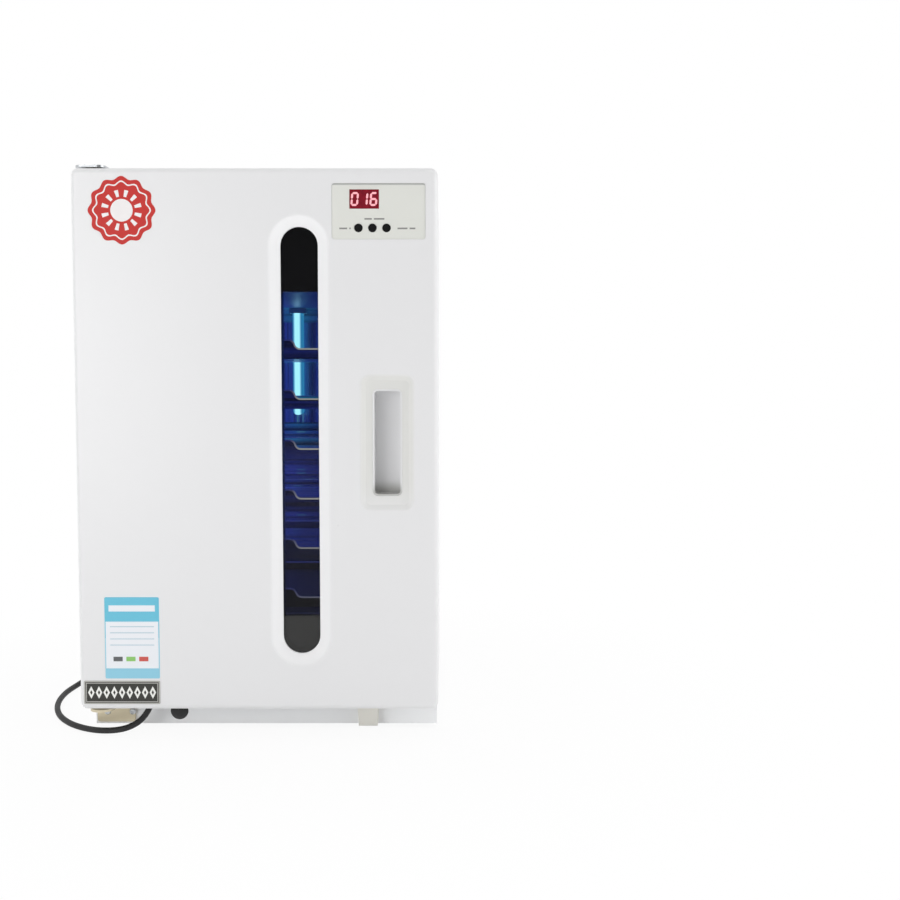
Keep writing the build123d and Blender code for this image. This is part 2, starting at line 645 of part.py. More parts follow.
# Lamp ballast on the chamber's roof, held by an ear at each end
BALLAST_X = -CHAMBER_W / 2 + BALLAST_FROM_LEFT + BALLAST_L / 2
BALLAST_Y = y_of(SHELL_DEPTH + BALLAST_SET_BACK)
with BuildPart() as ballast:
    with Locations((BALLAST_X, BALLAST_Y, LINER_TOP_Z)):
        Box(BALLAST_L, BALLAST_W, BALLAST_H, align=CENTRED_UP)
        Box(BALLAST_L + 2 * BALLAST_EAR, BALLAST_W / 2, BALLAST_EAR_T, align=CENTRED_UP)
        with GridLocations(BALLAST_L + BALLAST_EAR, 0, 2, 1):
            Cylinder(BALLAST_HOLE_D / 2, BALLAST_EAR_T, align=CENTRED_UP, mode=Mode.SUBTRACT)
save(ballast.part, "ballast")

# Snap-in appliance inlet in the rear panel, its flange outside
with BuildPart() as power_inlet:
    with BuildSketch(at_depth(BACK_DEPTH)):
        with Locations((INLET_X, INLET_Z)):
            RectangleRounded(INLET_FLANGE_W, INLET_FLANGE_H, 2 * INLET_R)
    extrude(amount=-INLET_FLANGE_T)
    with BuildSketch(at_depth(BACK_DEPTH)):
        with Locations((INLET_X, INLET_Z)):
            RectangleRounded(INLET_W, INLET_H, INLET_R)
    extrude(amount=INLET_DEPTH)
    with BuildSketch(at_depth(BACK_DEPTH + INLET_FLANGE_T)) as mouth:
        with Locations((INLET_X, INLET_Z)):
            Rectangle(INLET_W - 2 * INLET_WALL, INLET_H - 2 * INLET_WALL)
        chamfer(mouth.vertices().group_by(Axis.Y)[-1], INLET_CHAMFER)
    extrude(amount=INLET_CAVITY, mode=Mode.SUBTRACT)
save(power_inlet.part, "power_inlet")

# Three blades standing on the inlet's floor
with BuildPart() as inlet_pins:
    with BuildSketch(at_depth(BACK_DEPTH + INLET_FLANGE_T - INLET_CAVITY)):
        with Locations((INLET_X, INLET_Z - BLADE_RISE / 2)):
            with GridLocations(BLADE_PITCH, 0, 2, 1):
                Rectangle(BLADE_T, BLADE_W)
        with Locations((INLET_X, INLET_Z + BLADE_RISE / 2)):
            Rectangle(BLADE_T, BLADE_W)
    extrude(amount=-BLADE_L)
save(inlet_pins.part, "inlet_pins")

# Door sensor in the hollow of the face frame
with BuildPart() as reed_switch:
    with BuildSketch(at_depth(BODY_DEPTH + FRAME_WALL)):
        with Locations((SENSOR_X, SENSOR_Z)):
            RectangleRounded(SENSOR_W, SENSOR_H, SENSOR_H / 4)
    extrude(amount=-SENSOR_T)
save(reed_switch.part, "reed_switch")

# Four tapered rubber feet
with BuildPart() as rubber_feet:
    with Locations((0, y_of((SHELL_DEPTH + SHELL_BACK_DEPTH) / 2), 0)):
        with GridLocations(
            PAN_W - 2 * FOOT_INSET, SHELL_BACK_DEPTH - SHELL_DEPTH - 2 * FOOT_INSET, 2, 2
        ):
            Cone(FOOT_D / 2 - FOOT_TAPER, FOOT_D / 2, FOOT_H, align=CENTRED_UP)
save(rubber_feet.part, "rubber_feet")

# Domed rubber bumper pushed into the plinth
with BuildPart() as plinth_bumper:
    with BuildSketch(Plane.XY.offset(BUMPER_Z)):
        with BuildLine():
            face_y = y_of(BODY_DEPTH)
            peg_y = face_y + PEG_L
            Polyline(
                (BUMPER_X, face_y - BUMPER_PROUD),
                (BUMPER_X, peg_y),
                (BUMPER_X + PEG_D / 2, peg_y),
                (BUMPER_X + PEG_D / 2, face_y),
                (BUMPER_X + BUMPER_D / 2, face_y),
            )
            TangentArc(
                (BUMPER_X, face_y - BUMPER_PROUD), (BUMPER_X + BUMPER_D / 2, face_y), tangent=(1, 0)
            )
        make_face()
    revolve(axis=Axis((BUMPER_X, face_y, BUMPER_Z), (0, 1, 0)))
save(plinth_bumper.part, "plinth_bumper")

# Nylon block that takes the free side of the closed door
with BuildPart() as door_rest:
    with BuildSketch(at_depth(BODY_DEPTH)):
        with BuildLine():
            Polyline(
                (REST_X - REST_W / 2, REST_TOP_Z),
                (REST_X + REST_W / 2, REST_TOP_Z),
                (REST_X + REST_W / 2 - REST_TAPER, REST_BOTTOM_Z),
                (REST_X - REST_W / 2 + REST_TAPER, REST_BOTTOM_Z),
                close=True,
            )
        make_face()
    extrude(amount=REST_T)
    front_edges = door_rest.faces().sort_by(Axis.Y)[0].edges()
    fillet(front_edges, REST_R)
    with BuildSketch(at_depth(BODY_DEPTH)):
        with Locations((REST_X, BUMPER_Z)):
            Circle(PEG_D / 2)
    extrude(amount=-PEG_L)
save(door_rest.part, "door_rest")

# Upper hinge: a plate on the cabinet's top and a pin hanging from it
PLATE_TOP_Z = BODY_TOP_Z + TOP_PLATE_T
with BuildPart() as top_hinge_plate:
    with BuildSketch(Plane.XY.offset(BODY_TOP_Z)) as plate:
        with Locations((TOP_PLATE_X, y_of((TOP_PLATE_FRONT + TOP_PLATE_BACK) / 2))):
            Rectangle(TOP_PLATE_W, TOP_PLATE_BACK - TOP_PLATE_FRONT)
        fillet(plate.vertices(), TOP_PLATE_R)
        with Locations((HINGE_X, HINGE_Y)):
            Circle(HINGE_PIN_D / 2 + HINGE_HOLE_CLEARANCE, mode=Mode.SUBTRACT)
        with Locations(*[(HINGE_X, y_of(depth)) for depth in TOP_SCREW_DEPTHS]):
            Circle(SCREW_HOLE_D / 2, mode=Mode.SUBTRACT)
    extrude(amount=TOP_PLATE_T)
save(top_hinge_plate.part, "top_hinge_plate")

with BuildPart() as top_hinge_pin:
    with Locations((HINGE_X, HINGE_Y, PLATE_TOP_Z)):
        Cylinder(HINGE_PIN_HEAD_D / 2, HINGE_PIN_HEAD_T, align=CENTRED_UP)
        Cylinder(
            HINGE_PIN_D / 2, TOP_PLATE_T + HINGE_TOP_GAP + HINGE_PIN_REACH, align=CENTRED_DOWN
        )
save(top_hinge_pin.part, "top_hinge_pin")

# Lower hinge: an angle bracket on the plinth with a pin standing in its arm
with BuildPart() as bottom_hinge_bracket:
    with BuildSketch(at_depth(BODY_DEPTH)):
        with Locations((BRACKET_X, BRACKET_BOTTOM_Z + BRACKET_DROP / 2)):
            RectangleRounded(BRACKET_W, BRACKET_DROP, BRACKET_T)
        with Locations(*[(x, BRACKET_SCREW_Z) for x in BRACKET_SCREW_X]):
            Circle(SCREW_HOLE_D / 2, mode=Mode.SUBTRACT)
    extrude(amount=BRACKET_T)
    with BuildSketch(Plane.XY.offset(BRACKET_TOP_Z)):
        with Locations((HINGE_X, HINGE_Y)):
            Circle(BRACKET_ARM_W / 2)
            Rectangle(BRACKET_ARM_W, BODY_DEPTH - HINGE_DEPTH, align=(Align.CENTER, Align.MIN))
            Circle(HINGE_PIN_D / 2 + HINGE_HOLE_CLEARANCE, mode=Mode.SUBTRACT)
    extrude(amount=-BRACKET_T)
save(bottom_hinge_bracket.part, "bottom_hinge_bracket")

with BuildPart() as bottom_hinge_pin:
    with Locations((HINGE_X, HINGE_Y, BRACKET_TOP_Z - BRACKET_T)):
        Cylinder(HINGE_PIN_HEAD_D / 2, HINGE_PIN_HEAD_T, align=CENTRED_DOWN)
        Cylinder(
            HINGE_PIN_D / 2, BRACKET_T + HINGE_BOTTOM_GAP + HINGE_PIN_REACH, align=CENTRED_UP
        )
save(bottom_hinge_pin.part, "bottom_hinge_pin")

# Screws of both hinges
with BuildPart() as hinge_screws:
    with Locations(*[(HINGE_X, y_of(depth), PLATE_TOP_Z) for depth in TOP_SCREW_DEPTHS]):
        Cylinder(SCREW_HEAD_D / 2, SCREW_HEAD_T, align=CENTRED_UP)
        Cylinder(SCREW_D / 2, SCREW_L, align=CENTRED_DOWN)
    bracket_face = y_of(BODY_DEPTH - BRACKET_T)
    with Locations(*[(x, bracket_face, BRACKET_SCREW_Z) for x in BRACKET_SCREW_X]):
        Cylinder(SCREW_HEAD_D / 2, SCREW_HEAD_T, rotation=(90, 0, 0), align=CENTRED_UP)
        Cylinder(SCREW_D / 2, SCREW_L, rotation=(90, 0, 0), align=CENTRED_DOWN)
save(hinge_screws.part, "hinge_screws")

# Screws of the rear panel
with BuildPart() as back_screws:
    with Locations((0, y_of(BACK_DEPTH), BODY_MID_Z)):
        with Locations(Plane.XZ):
            with GridLocations(BODY_W - 2 * BACK_SCREW_INSET, BACK_SCREW_PITCH, 2, BACK_SCREW_ROWS):
                Cylinder(SCREW_HEAD_D / 2, SCREW_HEAD_T, align=CENTRED_DOWN)
                Cylinder(SCREW_D / 2, SCREW_L, align=CENTRED_UP)
save(back_screws.part, "back_screws")

# Rubber grommet low on the cabinet's hinge side
with BuildPart() as cable_grommet:
    with BuildSketch(Plane.YZ.offset(-BODY_W / 2)):
        with Locations((y_of(GROMMET_DEPTH), GROMMET_Z)):
            Circle(GROMMET_D / 2)
    extrude(amount=-GROMMET_T)
    with BuildSketch(Plane.YZ.offset(-BODY_W / 2)):
        with Locations((y_of(GROMMET_DEPTH), GROMMET_Z)):
            Circle(GROMMET_NECK_D / 2)
    extrude(amount=SHEET)
    with BuildSketch(Plane.YZ.offset(-BODY_W / 2 + SHEET)):
        with Locations((y_of(GROMMET_DEPTH), GROMMET_Z)):
            Circle(GROMMET_D / 2)
    extrude(amount=GROMMET_INNER_T)
save(cable_grommet.part, "cable_grommet")

# Cable from the grommet along the floor, round the hinge corner and up into the door
CABLE_REST_Z = CABLE_D / 2 + 0.2
GLAND_TIP_Z = DOOR_BOTTOM_Z - GLAND_DROP
CABLE_ROUTE = [
    (-BODY_W / 2 - GROMMET_T, GROMMET_DEPTH, GROMMET_Z),
    (-193.0, GROMMET_DEPTH, GROMMET_Z),
    (-213.0, 234.0, 19.0),
    (-231.0, 219.0, 8.5),
    (-241.0, 196.0, CABLE_REST_Z),
    (-244.0, 166.0, CABLE_REST_Z),
    (-241.0, 132.0, CABLE_REST_Z),
    (-232.0, 98.0, CABLE_REST_Z),
    (-216.0, 65.0, CABLE_REST_Z),
    (-193.0, 38.0, CABLE_REST_Z),
    (-165.0, 20.0, CABLE_REST_Z + 0.6),
    (-138.0, 16.5, CABLE_REST_Z + 3.4),
    (-120.5, 21.5, CABLE_REST_Z + 9.5),
    (GLAND_X, GLAND_DEPTH, CABLE_REST_Z + 16.0),
    (GLAND_X, GLAND_DEPTH, GLAND_TIP_Z - CABLE_END_GAP),
]


def corner_radii(points):
    """Largest tangent arc at each inner point, 0.45 of its shorter run."""
    radii = []
    for before, corner, after in zip(points, points[1:], points[2:]):
        come = corner - before
        go = after - corner
        half_turn = radians(come.get_angle(go)) / 2
        radii.append(0.45 * min(come.length, go.length) / tan(half_turn))
    return radii


cable_points = [Vector(x, y_of(depth), z) for x, depth, z in CABLE_ROUTE]
cable_radii = corner_radii(cable_points)
with BuildPart() as door_cable:
    with BuildLine() as cable_line:
        FilletPolyline(*cable_points, radius=cable_radii)
    with BuildSketch(Plane(cable_points[0], z_dir=cable_points[1] - cable_points[0])):
        Circle(CABLE_D / 2)
    sweep(path=cable_line.wire())
cable_length = cable_line.wire().length
print("cable radii", [round(radius) for radius in cable_radii], "length", round(cable_length, 1))
cable_full = cable_length * pi * CABLE_D**2 / 4
print("cable volume over section times length", round(door_cable.part.volume / cable_full, 4))
save(door_cable.part, "door_cable")

# Door: hollow moulding with the window's bevel, the dished pull and the panel's recess
BUSH_BOSS_D = BUSH_D + 2 * BUSH_BOSS_WALL
BUSH_L = HINGE_PIN_REACH + BUSH_FLOOR
with BuildPart() as door_shell:
    with BuildSketch(at_depth(0)):
        with Locations((0, DOOR_MID_Z)):
            RectangleRounded(DOOR_W, DOOR_H, DOOR_CORNER_R)
    extrude(amount=-DOOR_T)
    fillet(door_shell.faces().sort_by(Axis.Y)[0].edges(), DOOR_EDGE_R)
    with BuildSketch(at_depth(DOOR_WALL)):
        with Locations((0, DOOR_MID_Z)):
            RectangleRounded(
                DOOR_W - 2 * DOOR_WALL, DOOR_H - 2 * DOOR_WALL, DOOR_CORNER_R - DOOR_WALL
            )
    extrude(amount=-(DOOR_T - DOOR_WALL), mode=Mode.SUBTRACT)
    # Thickened wall behind the bevel, the dish and the recess
    with BuildSketch(at_depth(DOOR_WALL)):
        with Locations((WINDOW_X, WINDOW_Z)):
            upright_slot(
                WINDOW_W + 2 * WINDOW_BEVEL + 2 * DOOR_WALL, WINDOW_H + 2 * WINDOW_BEVEL + 2 * DOOR_WALL
            )
    extrude(amount=-(PANE_DEPTH - DOOR_WALL))
    with BuildSketch(at_depth(DOOR_WALL)):
        with Locations((DISH_X, DISH_Z)):
            RectangleRounded(DISH_W + 2 * DOOR_WALL, DISH_H + 2 * DOOR_WALL, DISH_R + DOOR_WALL)
    extrude(amount=-(DISH_BACK - DOOR_WALL))
    with BuildSketch(at_depth(DOOR_WALL)):
        with Locations((CONTROL_X, CONTROL_Z)):
            Rectangle(CONTROL_W + 2 * DOOR_WALL, CONTROL_H + 2 * DOOR_WALL)
    extrude(amount=-(CONTROL_BACK - DOOR_WALL))
    # Posts for the inner panel and the board, bosses round the hinge bushes
    with BuildSketch(at_depth(DOOR_WALL)):
        with Locations((0, DOOR_MID_Z)):
            with door_posts():
                Circle(DOOR_POST_D / 2)
    extrude(amount=-(INNER_PANEL_DEPTH - DOOR_WALL))
    with BuildSketch(at_depth(CONTROL_BACK)):
        with Locations((CONTROL_X, CONTROL_Z)):
            with board_posts():
                Circle(BOARD_POST_D / 2)
    extrude(amount=-(BOARD_DEPTH - CONTROL_BACK))
    with Locations((HINGE_X, HINGE_Y, DOOR_TOP_Z - DOOR_WALL)):
        Cylinder(BUSH_BOSS_D / 2, BUSH_L - DOOR_WALL, align=CENTRED_DOWN)
    with Locations((HINGE_X, HINGE_Y, DOOR_BOTTOM_Z + DOOR_WALL)):
        Cylinder(BUSH_BOSS_D / 2, BUSH_L - DOOR_WALL, align=CENTRED_UP)
    # Window: bevel, then the clear opening
    with BuildSketch(at_depth(0)):
        with Locations((WINDOW_X, WINDOW_Z)):
            upright_slot(WINDOW_W + 2 * WINDOW_BEVEL, WINDOW_H + 2 * WINDOW_BEVEL)
    with BuildSketch(at_depth(WINDOW_BEVEL_DEPTH)):
        with Locations((WINDOW_X, WINDOW_Z)):
            upright_slot(WINDOW_W, WINDOW_H)
    loft(ruled=True, mode=Mode.SUBTRACT)
    with BuildSketch(at_depth(WINDOW_BEVEL_DEPTH)):
        with Locations((WINDOW_X, WINDOW_Z)):
            upright_slot(WINDOW_W, WINDOW_H)
    extrude(amount=-WINDOW_LAND, mode=Mode.SUBTRACT)
    # Pull: sloped dish, then the hole for the cup
    with BuildSketch(at_depth(0)):
        with Locations((DISH_X, DISH_Z)):
            RectangleRounded(DISH_W, DISH_H, DISH_R)
    with BuildSketch(at_depth(DISH_DEPTH)):
        with Locations((DISH_X, DISH_Z)):
            RectangleRounded(DISH_W - 2 * DISH_SLOPE, DISH_H - 2 * DISH_SLOPE, DISH_R - DISH_SLOPE)
    loft(ruled=True, mode=Mode.SUBTRACT)
    with BuildSketch(at_depth(DISH_DEPTH)):
        with Locations((DISH_X, DISH_Z)):
            RectangleRounded(CUP_W + 2 * CUP_CLEARANCE, CUP_H + 2 * CUP_CLEARANCE, CUP_R + CUP_CLEARANCE)
    extrude(amount=-DOOR_WALL, mode=Mode.SUBTRACT)
    # Recess for the fascia, with holes for the display and the buttons
    with BuildSketch(at_depth(0)):
        with Locations((CONTROL_X, CONTROL_Z)):
            RectangleRounded(
                CONTROL_W + 2 * CONTROL_CLEARANCE,
                CONTROL_H + 2 * CONTROL_CLEARANCE,
                CONTROL_CORNER_R + CONTROL_CLEARANCE,
            )
    extrude(amount=-CONTROL_FLOOR, mode=Mode.SUBTRACT)
    with BuildSketch(at_depth(CONTROL_FLOOR)):
        with Locations((DISPLAY_X, DISPLAY_Z)):
            Rectangle(DISPLAY_W + 2 * DISPLAY_CLEARANCE, DISPLAY_H + 2 * DISPLAY_CLEARANCE)
        with Locations(*[(x, BUTTON_Z) for x in BUTTON_X]):
            Circle(BUTTON_D / 2 + BUTTON_CLEARANCE)
    extrude(amount=-DOOR_WALL, mode=Mode.SUBTRACT)
    # Holes for screws, bushes and the cable gland
    with BuildSketch(at_depth(INNER_PANEL_DEPTH)):
        with Locations((0, DOOR_MID_Z)):
            with door_posts():
                Circle(SCREW_HOLE_D / 2)
    extrude(amount=DOOR_SCREW_L, mode=Mode.SUBTRACT)
    with BuildSketch(at_depth(BOARD_DEPTH)):
        with Locations((CONTROL_X, CONTROL_Z)):
            with board_posts():
                Circle(BOARD_SCREW_D / 2 + SCREW_CLEARANCE)
    extrude(amount=BOARD_SCREW_L, mode=Mode.SUBTRACT)
    with Locations((HINGE_X, HINGE_Y, DOOR_TOP_Z)):
        Cylinder(BUSH_D / 2 + BUSH_SEAT_CLEARANCE, BUSH_L, align=CENTRED_DOWN, mode=Mode.SUBTRACT)
    with Locations((HINGE_X, HINGE_Y, DOOR_BOTTOM_Z)):
        Cylinder(BUSH_D / 2 + BUSH_SEAT_CLEARANCE, BUSH_L, align=CENTRED_UP, mode=Mode.SUBTRACT)
    with Locations((GLAND_X, y_of(GLAND_DEPTH), DOOR_BOTTOM_Z)):
        Cylinder(GLAND_NECK_D / 2 + GLAND_CLEARANCE, DOOR_WALL, align=CENTRED_UP, mode=Mode.SUBTRACT)
save(door_shell.part, "door_shell")

# Inner panel with the collar that clamps the window pane
COLLAR_W = WINDOW_W + 2 * COLLAR_SET_OUT
COLLAR_H = WINDOW_H + 2 * COLLAR_SET_OUT
PANE_BACK_DEPTH = PANE_DEPTH + PANE_T
with BuildPart() as door_inner_panel:
    with BuildSketch(at_depth(INNER_PANEL_DEPTH)):
        with Locations((0, DOOR_MID_Z)):
            RectangleRounded(INNER_PANEL_W, INNER_PANEL_H, DOOR_CORNER_R - DOOR_WALL)
    extrude(amount=-INNER_PANEL_T)
    with BuildSketch(at_depth(PANE_BACK_DEPTH)):
        with Locations((WINDOW_X, WINDOW_Z)):
            upright_slot(COLLAR_W + 2 * COLLAR_T, COLLAR_H + 2 * COLLAR_T)
    extrude(amount=-(INNER_PANEL_DEPTH - PANE_BACK_DEPTH))
    with BuildSketch(at_depth(PANE_BACK_DEPTH)):
        with Locations((WINDOW_X, WINDOW_Z)):
            upright_slot(COLLAR_W, COLLAR_H)
    extrude(amount=-(DOOR_T - PANE_BACK_DEPTH), mode=Mode.SUBTRACT)
    with BuildSketch(at_depth(INNER_PANEL_DEPTH)):
        with Locations((0, DOOR_MID_Z)):
            with door_posts():
                Circle(SCREW_HOLE_D / 2)
    extrude(amount=-INNER_PANEL_T, mode=Mode.SUBTRACT)
    with BuildSketch(at_depth(DOOR_T)):
        with Locations((0, DOOR_MID_Z)):
            with door_posts():
                Circle(DOOR_SCREW_HEAD_D / 2 + SCREW_CLEARANCE)
    extrude(amount=DOOR_SCREW_HEAD_T, mode=Mode.SUBTRACT)
save(door_inner_panel.part, "door_inner_panel")

# Tinted pane on the land behind the bevel
with BuildPart() as window_pane:
    with BuildSketch(at_depth(PANE_DEPTH)):
        with Locations((WINDOW_X, WINDOW_Z)):
            upright_slot(WINDOW_W + 2 * PANE_LAP, WINDOW_H + 2 * PANE_LAP)
    extrude(amount=-PANE_T)
save(window_pane.part, "window_pane")

# Finger cup, its mouth flush with the dish and its flange behind the wall
with BuildPart() as handle_cup:
    with BuildSketch(at_depth(DISH_DEPTH)):
        with Locations((DISH_X, DISH_Z)):
            RectangleRounded(CUP_W, CUP_H, CUP_R)
    extrude(amount=-(SLOT_DEPTH + CUP_WALL))
    with BuildSketch(at_depth(DISH_BACK)):
        with Locations((DISH_X, DISH_Z)):
            RectangleRounded(CUP_W + 2 * CUP_FLANGE, CUP_H + 2 * CUP_FLANGE, CUP_R + CUP_FLANGE / 2)
    extrude(amount=-CUP_FLANGE_T)
    with BuildSketch(at_depth(DISH_DEPTH)):
        with Locations((DISH_X, DISH_Z)):
            RectangleRounded(SLOT_W, SLOT_H, SLOT_R)
    extrude(amount=-SLOT_DEPTH, mode=Mode.SUBTRACT)
save(handle_cup.part, "handle_cup")

# Fascia with its display window and button holes
with BuildPart() as control_panel:
    with BuildSketch(at_depth(CONTROL_SUNK)):
        with Locations((CONTROL_X, CONTROL_Z)):
            RectangleRounded(CONTROL_W, CONTROL_H, CONTROL_CORNER_R)
        with Locations((DISPLAY_X, DISPLAY_Z)):
            Rectangle(
                DISPLAY_W + 2 * DISPLAY_CLEARANCE,
                DISPLAY_H + 2 * DISPLAY_CLEARANCE,
                mode=Mode.SUBTRACT,
            )
        with Locations(*[(x, BUTTON_Z) for x in BUTTON_X]):
            Circle(BUTTON_D / 2 + BUTTON_CLEARANCE, mode=Mode.SUBTRACT)
    extrude(amount=-CONTROL_T)
save(control_panel.part, "control_panel")

# Display block standing on the board, its lens level with the fascia
with BuildPart() as display_module:
    with BuildSketch(at_depth(CONTROL_SUNK)):
        with Locations((DISPLAY_X, DISPLAY_Z)):
            Rectangle(DISPLAY_W, DISPLAY_H)
    extrude(amount=-(BOARD_DEPTH - CONTROL_SUNK))
save(display_module.part, "display_module")

with BuildPart() as control_board:
    with BuildSketch(at_depth(BOARD_DEPTH)):
        with Locations((CONTROL_X, CONTROL_Z)):
            Rectangle(BOARD_W, BOARD_H)
            with board_posts():
                Circle(BOARD_SCREW_D / 2 + SCREW_CLEARANCE, mode=Mode.SUBTRACT)
    extrude(amount=-BOARD_T)
save(control_board.part, "control_board")

with BuildPart() as tact_switches:
    with BuildSketch(at_depth(SWITCH_DEPTH)):
        with Locations(*[(x, BUTTON_Z) for x in BUTTON_X]):
            Rectangle(SWITCH_W, SWITCH_W)
    extrude(amount=-SWITCH_H)
save(tact_switches.part, "tact_switches")

# Board screws, driven from behind into the posts
with BuildPart() as board_screws:
    with BuildSketch(at_depth(BOARD_DEPTH + BOARD_T)):
        with Locations((CONTROL_X, CONTROL_Z)):
            with board_posts():
                Circle(BOARD_SCREW_D)
    extrude(amount=-BOARD_SCREW_D / 2)
    with BuildSketch(at_depth(BOARD_DEPTH + BOARD_T)):
        with Locations((CONTROL_X, CONTROL_Z)):
            with board_posts():
                Circle(BOARD_SCREW_D / 2)
    extrude(amount=BOARD_T + BOARD_SCREW_L)
save(board_screws.part, "board_screws")

# Push buttons, each kept in by a flange behind the wall
for name, x in zip(("left", "middle", "right"), BUTTON_X):
    with BuildPart() as button:
        with BuildSketch(at_depth(BUTTON_FACE)):
            with Locations((x, BUTTON_Z)):
                Circle(BUTTON_D / 2)
        extrude(amount=-(BUTTON_FLANGE_DEPTH - BUTTON_FACE))
        chamfer(button.faces().sort_by(Axis.Y)[0].edges(), BUTTON_EDGE)
        with BuildSketch(at_depth(BUTTON_FLANGE_DEPTH)):
            with Locations((x, BUTTON_Z)):
                Circle(BUTTON_FLANGE_D / 2)
        extrude(amount=-BUTTON_FLANGE_T)
        with BuildSketch(at_depth(BUTTON_STEM_DEPTH)):
            with Locations((x, BUTTON_Z)):
                Circle(BUTTON_STEM_D / 2)
        extrude(amount=-BUTTON_STEM_L)
    save(button.part, f"button_{name}")

# Seal on the inner panel's back, inboard of the hinge line so that it lifts off
GASKET_INSET = HINGE_INSET + GASKET_FROM_HINGE
with BuildPart() as door_gasket:
    with BuildSketch(at_depth(DOOR_T)):
        with Locations((0, DOOR_MID_Z)):
            RectangleRounded(DOOR_W - 2 * GASKET_INSET, DOOR_H - 2 * GASKET_INSET, GASKET_R + GASKET_W)
            RectangleRounded(
                DOOR_W - 2 * GASKET_INSET - 2 * GASKET_W,
                DOOR_H - 2 * GASKET_INSET - 2 * GASKET_W,
                GASKET_R,
                mode=Mode.SUBTRACT,
            )
    extrude(amount=-(DOOR_GAP - GASKET_GAP))
save(door_gasket.part, "door_gasket")

# Hinge bushes in the door's top and bottom edges
for name, edge_z, gap, outward in (
    ("top", DOOR_TOP_Z, HINGE_TOP_GAP, 1),
    ("bottom", DOOR_BOTTOM_Z, HINGE_BOTTOM_GAP, -1),
):
    out_align = CENTRED_UP if outward > 0 else CENTRED_DOWN
    in_align = CENTRED_DOWN if outward > 0 else CENTRED_UP
    flange_t = gap - HINGE_END_GAP
    with BuildPart() as hinge_bush:
        with Locations((HINGE_X, HINGE_Y, edge_z)):
            Cylinder(BUSH_FLANGE_D / 2, flange_t, align=out_align)
            Cylinder(BUSH_D / 2, BUSH_L, align=in_align)
        with Locations((HINGE_X, HINGE_Y, edge_z + outward * flange_t)):
            Cylinder(
                HINGE_PIN_D / 2 + HINGE_RUNNING_CLEARANCE,
                flange_t + HINGE_PIN_REACH + HINGE_END_GAP,
                align=in_align,
                mode=Mode.SUBTRACT,
            )
    save(hinge_bush.part, f"hinge_bush_{name}")

# Screws of the inner panel, heads sunk
with BuildPart() as door_screws:
    with BuildSketch(at_depth(DOOR_T)):
        with Locations((0, DOOR_MID_Z)):
            with door_posts():
                Circle(DOOR_SCREW_HEAD_D / 2)
    extrude(amount=DOOR_SCREW_HEAD_T)
    with BuildSketch(at_depth(DOOR_T - DOOR_SCREW_HEAD_T)):
        with Locations((0, DOOR_MID_Z)):
            with door_posts():
                Circle(SCREW_D / 2)
    extrude(amount=INNER_PANEL_T - DOOR_SCREW_HEAD_T + DOOR_SCREW_L)
save(door_screws.part, "door_screws")

# Gland through the door's underside
with BuildPart() as cable_gland:
    with Locations((GLAND_X, y_of(GLAND_DEPTH), DOOR_BOTTOM_Z)):
        Cone(GLAND_TIP_D / 2, GLAND_D / 2, GLAND_DROP, align=CENTRED_DOWN)
        Cylinder(GLAND_NECK_D / 2, GLAND_NECK_L, align=CENTRED_UP)
save(cable_gland.part, "cable_gland")

# Magnet on the inner panel, facing the sensor
with BuildPart() as door_magnet:
    with BuildSketch(at_depth(INNER_PANEL_DEPTH)):
        with Locations((SENSOR_X, SENSOR_Z)):
            Rectangle(MAGNET_W, MAGNET_H)
    extrude(amount=MAGNET_T)
save(door_magnet.part, "door_magnet")

# Trays: shallow pans whose front wall rises to a pull lip
for row, tray_z in enumerate(TRAY_Z, start=1):
    with BuildPart() as tray:
        with BuildSketch(Plane.XY.offset(tray_z)):
            with Locations((0, y_of(TRAY_FRONT_DEPTH + TRAY_D / 2))):
                RectangleRounded(TRAY_W, TRAY_D, TRAY_R)
        extrude(amount=TRAY_H)
        with BuildSketch(Plane.XY.offset(tray_z + TRAY_T)):
            with Locations((0, y_of(TRAY_FRONT_DEPTH + TRAY_D / 2))):
                RectangleRounded(TRAY_W - 2 * TRAY_T, TRAY_D - 2 * TRAY_T, TRAY_R - TRAY_T)
        extrude(amount=TRAY_H - TRAY_T, mode=Mode.SUBTRACT)
        with BuildSketch(at_depth(TRAY_FRONT_DEPTH)):
            with BuildLine():
                rim_z = tray_z + TRAY_H
                foot = (TRAY_LIP_FOOT_W / 2, rim_z)
                knee = ((TRAY_LIP_FOOT_W + TRAY_LIP_W) / 4, rim_z + TRAY_LIP / 2)
                crest = (TRAY_LIP_W / 2, rim_z + TRAY_LIP)
                Polyline((0, rim_z - TRAY_H / 2), (TRAY_LIP_FOOT_W / 2, rim_z - TRAY_H / 2), foot)
                TangentArc(foot, knee, tangent=(-1, 0))
                TangentArc(crest, knee, tangent=(1, 0))
                Line(crest, (0, rim_z + TRAY_LIP))
                mirror(about=Plane.YZ)
            make_face()
        extrude(amount=-TRAY_T)
    save(tray.part, f"tray_{row}")
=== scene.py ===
# %% [markdown]
# # Dressing an ultraviolet tray cabinet
#
# A countertop cabinet keeps small tools clean under an ultraviolet lamp. Its solids arrive from
# the modeller's CAD file and stay where they are. This lesson gives every solid the finish of the
# real thing and adds what a solid modeller leaves out: the soft cable, the screw recesses, the
# rolled tray rims, the lit digits and the sheets stuck on the door.

import math
from functools import reduce

